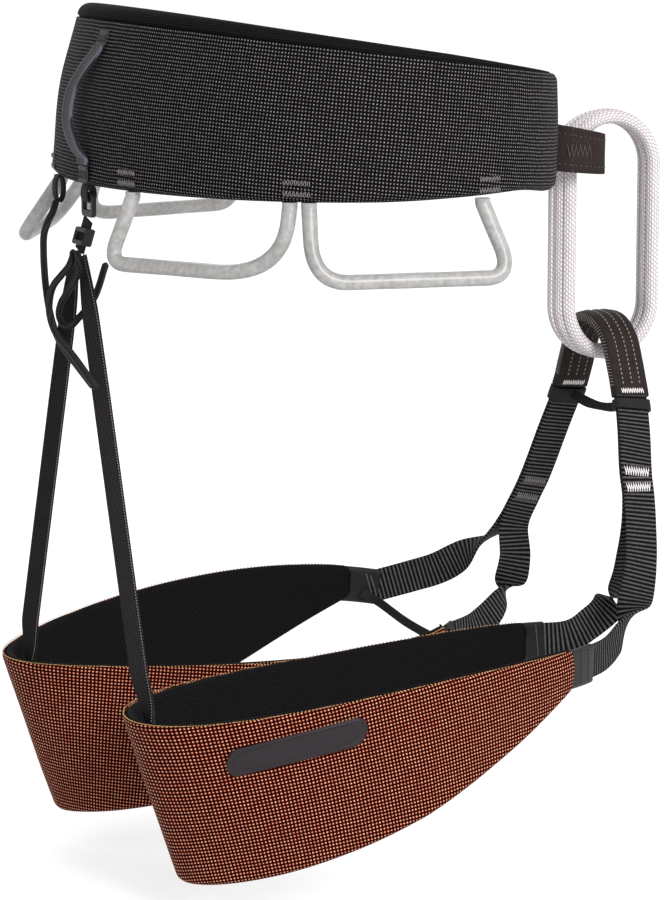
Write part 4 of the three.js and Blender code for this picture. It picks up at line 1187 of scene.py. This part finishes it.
def leg_bridge():
    layer_lift = (LEG_WEB_THICK + LAYER_GAP) / 2
    bridge_strand("outer", -layer_lift)
    bridge_strand("inner", layer_lift)
    riser_sleeve("bridge_cover", COVER_FROM, COVER_TO, COVER_WALL, BRIDGE_COVER, "cover", 0.02)
    cover_stitches()
    for label, start, stop in (("right", COVER_FROM - 0.38, COVER_FROM - 0.12),
                               ("left", COVER_TO + 0.12, COVER_TO + 0.38)):
        riser_sleeve(f"riser_band_{label}", start, stop, 1, ELASTIC, "elastic", 0.05)
    link = respace(catmull(LINK_ROUTE, 30), 0.5)
    section = np.array([tape(4.5 + 0.5 * math.sin(t / 5), 1.2, 9) for t in lengths(link)])
    strip("riser_link", "leg_bridge", "elastic", link, (0.4, 0, 1), section, ELASTIC)
    riser_bartacks()


def riser_bartacks():
    for side, places, colour in (("right", (1.0, 0.35), THREAD_WHITE),
                                 ("left", (13.05, 13.8), THREAD_GREY)):
        for number, at in enumerate(places):
            point, along, across, face = riser_frame(at)
            for label, way in (("front", 1), ("back", -1)):
                bartack(f"riser_bartack_{side}_{label}_{number}",
                        point + way * face * (LEG_WEB_THICK + 0.25), across, along, way * face,
                        13, 4.6, colour, "leg_bridge")


def cover_stitches():
    """Three rows on each face of the bridge cover, its overlocked edge and its bartacks."""
    half = LEG_WEB_THICK + LAYER_GAP / 2 + SLEEVE_ROOM + COVER_WALL
    path = respace(catmull(RISERS, 16)[COVER_FROM * 16 + 6: COVER_TO * 16 - 5], 0.5)
    along = unit(np.gradient(path, axis=0))
    side = unit(ACROSS - along * along[:, :1])
    face = np.cross(along, side)
    for label, way in (("outside", -1), ("inside", 1)):
        for number, across in enumerate((-4.4, 0.2, 4.4)):
            row = path + side * across + way * face * (half - 0.05)
            dashed_row(f"cover_stitches_{label}_{number}", row, way * face, THREAD_BROWN, "leg_bridge",
                       2.2, 0.62, 0.62)
    edge = path - side * (LEG_WEB_WIDTH / 2 + SLEEVE_ROOM + COVER_WALL - 0.15)
    ways = unit(face + 0.35 * along)
    rows = respace(np.hstack([edge, ways, -side]), 1.5)
    threads("cover_overlock", rows[:, :3], rows[:, 3:6], rows[:, 6:], 4.4, THREAD_BROWN,
            "leg_bridge", 0.4)
    for label, at in (("right", COVER_FROM + 0.12), ("left", COVER_TO - 0.12)):
        point, ahead, across, out = riser_frame(at)
        for name, way in (("outside", -1), ("inside", 1)):
            bartack(f"cover_bartack_{label}_{name}", point + way * out * half, across, ahead, way * out,
                    12, 2.8, THREAD_WHITE, "leg_bridge")


# ---------- leg loops' fittings ----------
def leg_tab(side, place_name, start, stop):
    """A stiff sewn tab that carries the webbing; it reaches a little way over the cover."""
    leg = LEGS[side]
    angles = np.linspace(start, stop, 24)
    high = leg_top(leg, angles) - 0.5
    middle = leg_point(leg, angles, -0.6 - TAB_THICK / 2, high - TAB_HEIGHT / 2)
    name = f"leg_tab_{place_name}_{side}"
    body = f"leg_loop_{side}"
    strip(name, body, "plastic", middle, UP, tape(TAB_HEIGHT, TAB_THICK, 15), PLASTIC)
    outward = leg_point(leg, angles, 1, high) - leg_point(leg, angles, 0, high)
    row = middle + outward * (TAB_THICK / 2 + 0.05)
    reach = TAB_HEIGHT / 2 - 2
    for number, share in enumerate((0.2, 0.5, 0.8)):
        at = int(share * 23)
        edge = np.array([row[at] + UP * z for z in np.linspace(-reach, reach, 12)])
        dashed_row(f"{name}_stitches_{number}", edge, outward[at], THREAD_DARK, body, 1.5, 0.6)


LEG_ELASTIC_ROUTE = [(84, 103, -253), (89, 98, -256), (93, 70, -262.5), (97, 47, -266), (97.5, 43, -266)]


def leg_fittings(side):
    leg = LEGS[side]
    leg_tab(side, "outer", LEG_OUTER_END + 4, OUTER_TAB_END)
    leg_tab(side, "inner", LEG_INNER_END - 3, INNER_TAB_END)
    points = [(leg["centre_x"] + x, leg["side"] * y, z) for x, y, z in LEG_ELASTIC_ROUTE]
    strip(f"leg_elastic_{side}", f"leg_loop_{side}", "elastic", respace(catmull(points, 30), 0.5),
          (0.3, 0, 1), tape(ELASTIC_WIDTH, STRAP_THICK, 9), ELASTIC)
    edge_line(side)


def edge_line(side):
    """The row of pale loops along the top of a leg loop's cover."""
    leg = LEGS[side]
    angles = np.arange(LEG_OUTER_END + 5, LEG_INNER_END - 4, 0.9)
    top = leg_top(leg, angles)
    at = leg_point(leg, angles, -0.75, top - 0.35)
    along = np.gradient(at, axis=0)
    out = leg_point(leg, angles, 1, top) - leg_point(leg, angles, 0, top)
    threads(f"leg_edge_{side}", at, along, unit(out) + UP, 0.8, THREAD_CREAM,
            f"leg_loop_{side}", 0.42, 0.1)


PATCH_ANGLE, PATCH_REACH = 121.5, 17  # degrees: its middle, and half its length
PATCH_HEIGHT, PATCH_Z, PATCH_SLOPE = 13, -266.2, 0.44
PATCH_ROUND = 3.2  # degrees that its rounded ends take up


def thigh_patch():
    """A blank rounded patch of soft rubber, with a raised rim."""
    leg = LEGS["right"]
    offset = -PATCH_REACH * np.cos(np.linspace(0, np.pi, 90))
    into = np.maximum(0, np.abs(offset) - (PATCH_REACH - PATCH_ROUND)) / PATCH_ROUND
    half = np.maximum(0.3, PATCH_HEIGHT / 2 * np.sqrt(np.maximum(0, 1 - into**2)))
    share = -np.cos(np.linspace(0, np.pi, 22))
    z = PATCH_Z - PATCH_SLOPE * offset[:, None] + half[:, None] * share[None]
    angle = np.broadcast_to((PATCH_ANGLE + offset)[:, None], z.shape)
    from_end = (PATCH_REACH - np.abs(offset))[:, None] * 1.7
    rim = np.minimum((1 - np.abs(share))[None] * half[:, None], from_end)
    dome = 0.75 * smoothstep(rim / 0.9) + 0.25 * smoothstep((1.6 - rim) / 0.7)
    outer = leg_point(leg, angle, 1.1 + 1.1 * dome, z)
    inner = leg_point(leg, angle, 0.9, z)
    piece = shell("thigh_patch", outer, inner, np.stack([angle * 1.7, z], -1), RUBBER)
    place_piece(piece, "leg_loop_right", ["thigh_patch"], "patch")
    patch_stitches(leg)


def patch_stitches(leg):
    turn = 2 * np.pi * np.arange(121) / 120
    a = (PATCH_REACH - 2.2) * squared(np.cos(turn), 0.35)
    b = (PATCH_HEIGHT / 2 - 1.9) * squared(np.sin(turn), 0.8)
    edge = leg_point(leg, PATCH_ANGLE + a, 2.1, PATCH_Z - PATCH_SLOPE * a + b)
    out = leg_point(leg, PATCH_ANGLE, 2, PATCH_Z) - leg_point(leg, PATCH_ANGLE, 1, PATCH_Z)
    dashed_row("patch_stitches", edge, out, THREAD_DARK, "leg_loop_right", 2.0, 0.6, 0.35)


# ---------- gear loops ----------
REAR_LOOP = {"outward": 12, "depth": 29.5, "lean": 8, "sharp": 8, "bend": (34, 24)}
FRONT_LOOP = {"outward": 12, "depth": 32, "lean": 10, "sharp": 10, "bend": (16, 18)}
LEFT_SWING = 33


def quadratic(a, b, c):
    t = np.linspace(0, 1, 24)[:, None]
    a, b, c = (np.array(p, float) for p in (a, b, c))
    return (1 - t) ** 2 * a + 2 * t * (1 - t) * b + t * t * c


def gear_path(start_angle, end_angle, outward, depth, lean, sharp, bend):
    inset = -1.2 - GEAR_TUBE / 2
    start = waist_point(start_angle, inset, GEAR_TOP)
    end = waist_point(end_angle, inset, GEAR_TOP)
    span = np.linalg.norm(end - start)
    along = (end - start) / span
    middle = (start_angle + end_angle) / 2
    away = waist_point(middle, 1, GEAR_TOP) - waist_point(middle, 0, GEAR_TOP)
    away = unit(away - along * (away @ along))
    tilt = math.radians(outward)
    down = away * math.sin(tilt) - UP * math.cos(tilt)
    corner = (-lean * 0.75, depth - sharp * 1.2)
    flat = np.vstack([
        [(0, 0)], quadratic(corner, (-lean * 1.1, depth), (sharp - lean, depth)),
        quadratic((span - bend[0], depth), (span, depth), (span, depth - bend[1])), [(span, 0)]])
    flat = respace(np.column_stack([flat, np.zeros(len(flat))]), 3.0)
    flat = respace(catmull(flat, 6), 0.9)
    return start + flat[:, :1] * along + flat[:, 1:2] * down, start, end


def gear_loop(name, start_angle, end_angle, shape):
    path, start, end = gear_path(start_angle, end_angle, **shape)
    stub = UP * 2.2
    path = respace(np.vstack([[start + stub], path, [end + stub]]), 0.9)
    away = unit(np.cross(path[len(path) // 2] - start, end - start))
    uneven = 1 + 0.012 * np.sin(lengths(path) / 5.3)
    sections = oval(GEAR_TUBE, GEAR_TUBE, 22)[None] * uneven[:, None, None]
    strip(name, name, "gear_tube", path, away, sections, GEAR_PLASTIC)


def gear_loops():
    behind, ahead = GEAR_MIDDLE + GEAR_BETWEEN / 2, GEAR_MIDDLE - GEAR_BETWEEN / 2
    tabs = (("rear", GEAR_REAR), ("middle", GEAR_MIDDLE), ("front", GEAR_FRONT))
    for name, side, swing in (("right", -1, {}), ("left", 1, {"outward": LEFT_SWING})):
        gear_loop(f"gear_loop_rear_{name}", side * GEAR_REAR, side * behind, {**REAR_LOOP, **swing})
        gear_loop(f"gear_loop_front_{name}", side * GEAR_FRONT, side * ahead, {**FRONT_LOOP, **swing})
        for place_name, angle in tabs:
            gear_tab(f"gear_tab_{place_name}_{name}", side * angle)


def gear_tab(name, angle):
    """Bartacks through the belt's lower edge that hold the gear loops' ends."""
    z = BELT_BOTTOM + 5
    base = waist_point(angle, 0.35, z)
    ahead = unit(waist_point(angle + 1, 0.3, z) - waist_point(angle - 1, 0.3, z))
    out = unit(np.cross(ahead, UP))
    tacks = [bartack(label, base + UP * up, ahead, UP, out, 12.5, height, THREAD_GREY,
                     "waist_belt", 0.8, 0.42)
             for label, up, height in ((name, -1.2, 2.4), (f"{name}_1", 3.4, 2.2))]
    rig.replaces(tacks[0], name)
    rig.slot(tacks[0], "webbing")


# ---------- haul loop ----------
def rearward(direction):
    """The direction or its opposite, whichever points to the back."""
    way = unit(direction)
    return way if way[0] < 0 else -way


# angle, outset from the belt and height
HAUL_STATIONS = [
    (182, HAUL_OUT - 0.2, 29.7), (182, HAUL_OUT, 28.2), (180.5, 6.5, 20), (178.5, 8.5, 9),
    (179.5, 8.5, -4), (182.5, 6, -14), (184, HAUL_OUT, -19.2), (184, HAUL_OUT - 0.2, -21.4)]
HAUL_ENDS = {"top": [(182, 0.9, 36.5), (182, 1.2, 33), (182, 2.2, 29.6)],
             "bottom": [(184, 2.2, -22.2), (184, 1.2, -26), (184, 0.9, -29.5)]}


def back_tape(name, body, stations):
    """Haul tape through places on the belt's back; returns its path."""
    path = respace(catmull([waist_point(*station) for station in stations], 20), 0.5)
    strip(name, body, "haul_tape", path, LEFTWARDS, tape(HAUL_WIDTH, STRAP_THICK, 13), HAUL_TAPE)
    return path


def haul_loop():
    path = back_tape("haul_loop", "haul_loop", HAUL_STATIONS)
    for label, way in (("right", -1), ("left", 1)):
        edge = path + LEFTWARDS * way * (HAUL_WIDTH / 2 - 0.5)
        cord = sweep(f"haul_edge_{label}", edge, LEFTWARDS, oval(1.5, STRAP_THICK + 0.5), HAUL_EDGE)
        place_piece(cord, "haul_loop", slot="haul_tape")
    for label, stations in HAUL_ENDS.items():
        name = f"haul_anchor_{label}"
        path = back_tape(name, "waist_belt", stations)
        along = unit(path[-1] - path[0])
        out = rearward(np.cross(LEFTWARDS, along))
        bartack(f"{name}_bartack", path[len(path) // 2] + out * 0.7, LEFTWARDS, along, out, 8.4, 3.6,
                THREAD_DARK, "waist_belt")


# ---------- rear suspension ----------
TETHER_ROUTE = [
    (-112.5, 33.5, -41.2), (-115, 31.5, -46), (-118.5, 29, -50.5), (-121, 27.6, -56),
    (-121.5, 27.2, -64), (-121.5, 26.5, -72), (-121.5, 24.8, -80), (-121.5, 21.6, -88),
    (-121.5, 16.5, -95.5), (-121.5, 9.5, -101.5), (-121.5, 0.8, -105.5), (-121.5, -8, -108.6),
    (-121.5, -16, -111.4), (-121.5, -24, -114.2), (-121.5, -32, -117)]
LEFT_TAIL_ROUTE = [
    (-118.4, -1.5, -60), (-119.5, -3.5, -63), (-121.8, -4.5, -67), (-124.5, -2.5, -71),
    (-126.2, 2.2, -75.5), (-126.5, 6.4, -81), (-126.5, 7.9, -87.5), (-126.5, 4.6, -93.5),
    (-126.5, -2, -98), (-126.5, -10, -101), (-126.5, -18.5, -103.6), (-126.5, -27, -106.6),
    (-126.5, -35, -109.8), (-126.5, -42, -112.6), (-126.5, -48, -115)]
RIGHT_TAIL_ROUTE = [
    (-118.4, -6.2, -60), (-118.9, -9, -63.5), (-119.8, -11, -68), (-120.8, -9.5, -72.5),
    (-121.5, -5, -76.5), (-121.7, 0.4, -80.6), (-121.8, 5.6, -84.8), (-121.8, 8, -90),
    (-121.2, 4.5, -94), (-119.5, -0.5, -94), (-116.5, -2.3, -90.5), (-112.5, -2.4, -86.5),
    (-109, -2.8, -81.5), (-107.3, -4.5, -76), (-107, -8, -70.5), (-107, -12, -65.5)]
FREE_CORDS = {"elastic_tether": TETHER_ROUTE, "elastic_tail_left": LEFT_TAIL_ROUTE,
              "elastic_tail_right": RIGHT_TAIL_ROUTE}


REAR_STRAP_ENDS = {"right": ((-115.9, -6.4, -62.5), (-112.5, -67, -262)),
                   "left": ((-115.9, 2.4, -62.5), (-118.5, 67, -262))}


def free_cords():
    for name, route in FREE_CORDS.items():
        path = respace(catmull(route, 12), 0.5)
        far = lengths(path)
        taper = np.sqrt(np.clip(0.15 + np.minimum(far, far[-1] - far) / 1.6, 0, 1))
        sections = oval(ELASTIC_CORD, ELASTIC_CORD, 16)[None] * taper[:, None, None]
        piece = strip(name, "rear_suspension", "elastic", path, (0.3, 0.5, 0.8), sections, ELASTIC)
        points = [tuple(p * MM) for p in path[::4]]
        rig.cord(piece, points[0], float(far[-1]) * MM, ELASTIC_CORD * MM, "bare",
                stiffness="limp", lay="hanging", path=points)


RING_HALF_DEPTH, RING_RISE = 2.1, 5.2


def small_ring(name, place, width, drop):
    """A loop of tape sewn into the belt's lower edge. It hangs by drop below its place."""
    x, y, z = place
    c, s = circle(48)
    reach = np.where(s > 0, RING_RISE, drop)
    path = np.stack([x + RING_HALF_DEPTH * c, np.full(48, y), z + reach * s], 1)
    strip(name, "waist_belt", "webbing", path, LEFTWARDS, tape(width, 1.0, 9), ELASTIC, closed=True)


def rear_suspension():
    small_ring("hook_ring", HOOK_AT, 7.5, 2.9)
    small_ring("tether_ring", TETHER_RING_AT, 5, 6.4)
    hook = plate("rear_hook", (0, -4.2, 13, 10.8, 2), [(0, -3.9, 9, 5.4, 0.6)], 2.2, PLASTIC,
                 math.pi / 2, HOOK_AT)
    place_piece(hook, "rear_suspension", ["rear_hook"], "plastic")
    top, end = np.array(WEB_TOP), np.array(WEB_END)
    web = respace(np.array([top, end]), 0.4)
    strip("suspension_web", "rear_suspension", "webbing", web, LEFTWARDS, tape(10, STRAP_THICK, 13),
          REAR_STRAP, ribs=(1.6, 0.1))
    adjuster(top, end)
    for side, (start, stop) in REAR_STRAP_ENDS.items():
        rear_strap(side, np.array(start), np.array(stop))


SLIDE_HALF_WIDTH, SLIDE_HALF_THICK, SLIDE_RAIL = 6.3, 1.75, 6.1
SLIDE_RINGS = (("strap_adjuster", 0.27, 0.42), ("strap_adjuster_lower", 0.68, 0.83))  # shares of the web


def adjuster(top, end):
    """A three-bar slide: two moulded rings joined by rounded sides."""
    along = end - top
    ahead = unit(along)
    out = rearward(np.cross(ahead, LEFTWARDS))
    c, s = circle(72)
    ring = (SLIDE_HALF_WIDTH * squared(c, 0.3)[:, None] * LEFTWARDS
            + SLIDE_HALF_THICK * squared(s, 0.5)[:, None] * out)
    rings = []
    for name, start, stop in SLIDE_RINGS:
        path = top + along * (start + stop) / 2 + ring
        band = tape(np.linalg.norm(along) * (stop - start), 1.5, 9)
        piece = sweep(name, path, ahead, band, PLASTIC, closed=True)
        rings.append(place_piece(piece, "strap_adjuster", slot="plastic"))
    for label, way in (("right", -1), ("left", 1)):
        rail = np.array([top + along * t + LEFTWARDS * way * SLIDE_RAIL for t in (0.3, 0.55, 0.8)])
        piece = sweep(f"strap_adjuster_{label}", respace(rail, 0.6), out, oval(4.6, 1.8, 16), PLASTIC)
        place_piece(piece, "strap_adjuster", slot="plastic")
    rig.replaces(rings[0], "strap_adjuster")


STRAP_TURNS = ((0, (0, 1, 0)), (0.13, (-0.7, 0.7, 0)), (0.35, (-0.9, 0.42, 0)),
               (0.88, (-0.9, 0.42, 0)), (0.95, (-0.5, 0.87, 0)), (1, (0, 1, 0)))
STRAP_END_IN = 2  # its lower end stands this much clear of the leg loop's lining


def rear_strap(side, start, end):
    """An elastic strap that twists to face sideways on its way down."""
    share = np.linspace(0, 1, 340)
    ways = np.array([way for _, way in STRAP_TURNS], float)
    across = np.stack([np.interp(share, [at for at, _ in STRAP_TURNS], ways[:, k]) for k in range(3)], 1)
    path = mix(start, end, share[:, None])
    path[:, 0] += STRAP_END_IN * smoothstep((share - 0.88) / 0.1)
    name, body = f"rear_strap_{side}", "rear_suspension"
    pieces = [strip(name, body, "webbing", path, across, tape(STRAP_WIDTH, STRAP_THICK, 13), REAR_STRAP)]
    along = unit(end - start)
    across = unit(across - along * (across @ along)[:, None])
    out = np.cross(along, across)
    for label, way in (("back", 1), ("front", -1)):
        row = path - across * (STRAP_WIDTH / 2 - 0.8) + out * way * (STRAP_THICK / 2 + 0.02)
        pieces.append(dashed_row(f"{name}_stitches_{label}", row, way * out, THREAD_GREY, body,
                                 1.3, 0.65, 0.5))
    for made in pieces:
        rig.squash(made, f"leg_loop_tilt_{side}", axis=(0, 0, 1), anchor=tuple(start * MM), keep=0.78)


# ---------- camera, light and floor ----------
CAMERA_AT, CAMERA_TO = (-697.3, -1495.4, 127), (7.4, -3.4, -159)
CAMERA_LENS, CAMERA_SENSOR = 145.2, 36
FLOOR_Z = -352
FLOOR_REACH = 6.0  # metres
# name, place, point looked at and size, in metres, and power in watts
LIGHTS = (("key", (0.1, -2.2, 0.8), (0, 0, -0.15), 0.9, 56),
          ("front", (1.9, -0.4, 0.9), (0, 0, -0.15), 0.8, 1),
          ("back", (0.4, 1.9, 1.2), (0, 0, -0.1), 1.2, 10))
FLOOR_GLOW = 0.64
WORLD_COLOUR, WORLD_STRENGTH = (1.0, 0.995, 0.99, 1), 1.02


def aimed(name, data, at, to, scale=1.0):
    """An object at a point that looks at another; scale turns the points into metres."""
    at, to = Vector(at), Vector(to)
    made = new_object(name, data)
    made.location = at * scale
    made.rotation_euler = (to - at).to_track_quat("-Z", "Y").to_euler()
    return made


def camera():
    data = bpy.data.cameras.new("camera")
    data.lens, data.sensor_width = CAMERA_LENS, CAMERA_SENSOR
    bpy.context.scene.camera = aimed("camera", data, CAMERA_AT, CAMERA_TO, MM)


def area_light(name, at, to, size, power):
    data = bpy.data.lights.new(name, "AREA")
    data.shape, data.size, data.energy = "DISK", size, power
    aimed(name, data, at, to)


def studio():
    bpy.context.scene.view_settings.view_transform = "Standard"
    world = bpy.data.worlds.new("studio")
    world.use_nodes = True
    background = world.node_tree.nodes["Background"]
    background.inputs["Color"].default_value = WORLD_COLOUR
    background.inputs["Strength"].default_value = WORLD_STRENGTH
    bpy.context.scene.world = world
    shader = Shader("floor", (0.4, 0.4, 0.4), 0.9, Emission_Color=(1.0, 1.0, 1.0),
                    Emission_Strength=FLOOR_GLOW)
    shader.bump(shader.noise(30), 0.05)
    mesh = bpy.data.meshes.new("floor")
    far = FLOOR_REACH
    corners = [(-far, -far, 0), (far, -far, 0), (far, far, 0), (-far, far, 0)]
    mesh.from_pydata(corners, [], [(0, 1, 2, 3)])
    mesh.materials.append(shader.material)
    floor = new_object("floor", mesh)
    floor.location.z = FLOOR_Z * MM
    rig.stage(floor)
    for light in LIGHTS:
        area_light(*light)


# ---------- the scene ----------
camera()
free_cords()
studio()
belt()
for leg_name, leg_shape in LEGS.items():
    leg_loop(leg_name, leg_shape)
    leg_fittings(leg_name)
thigh_patch()
tie_in()
belay_loop()
waist_webbing()
buckle()
leg_bridge()
gear_loops()
haul_loop()
rear_suspension()

with open("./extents.json", "w") as report:
    json.dump({"cad": cad_box, "with_looks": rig.bounds()}, report, indent=1, default=list)
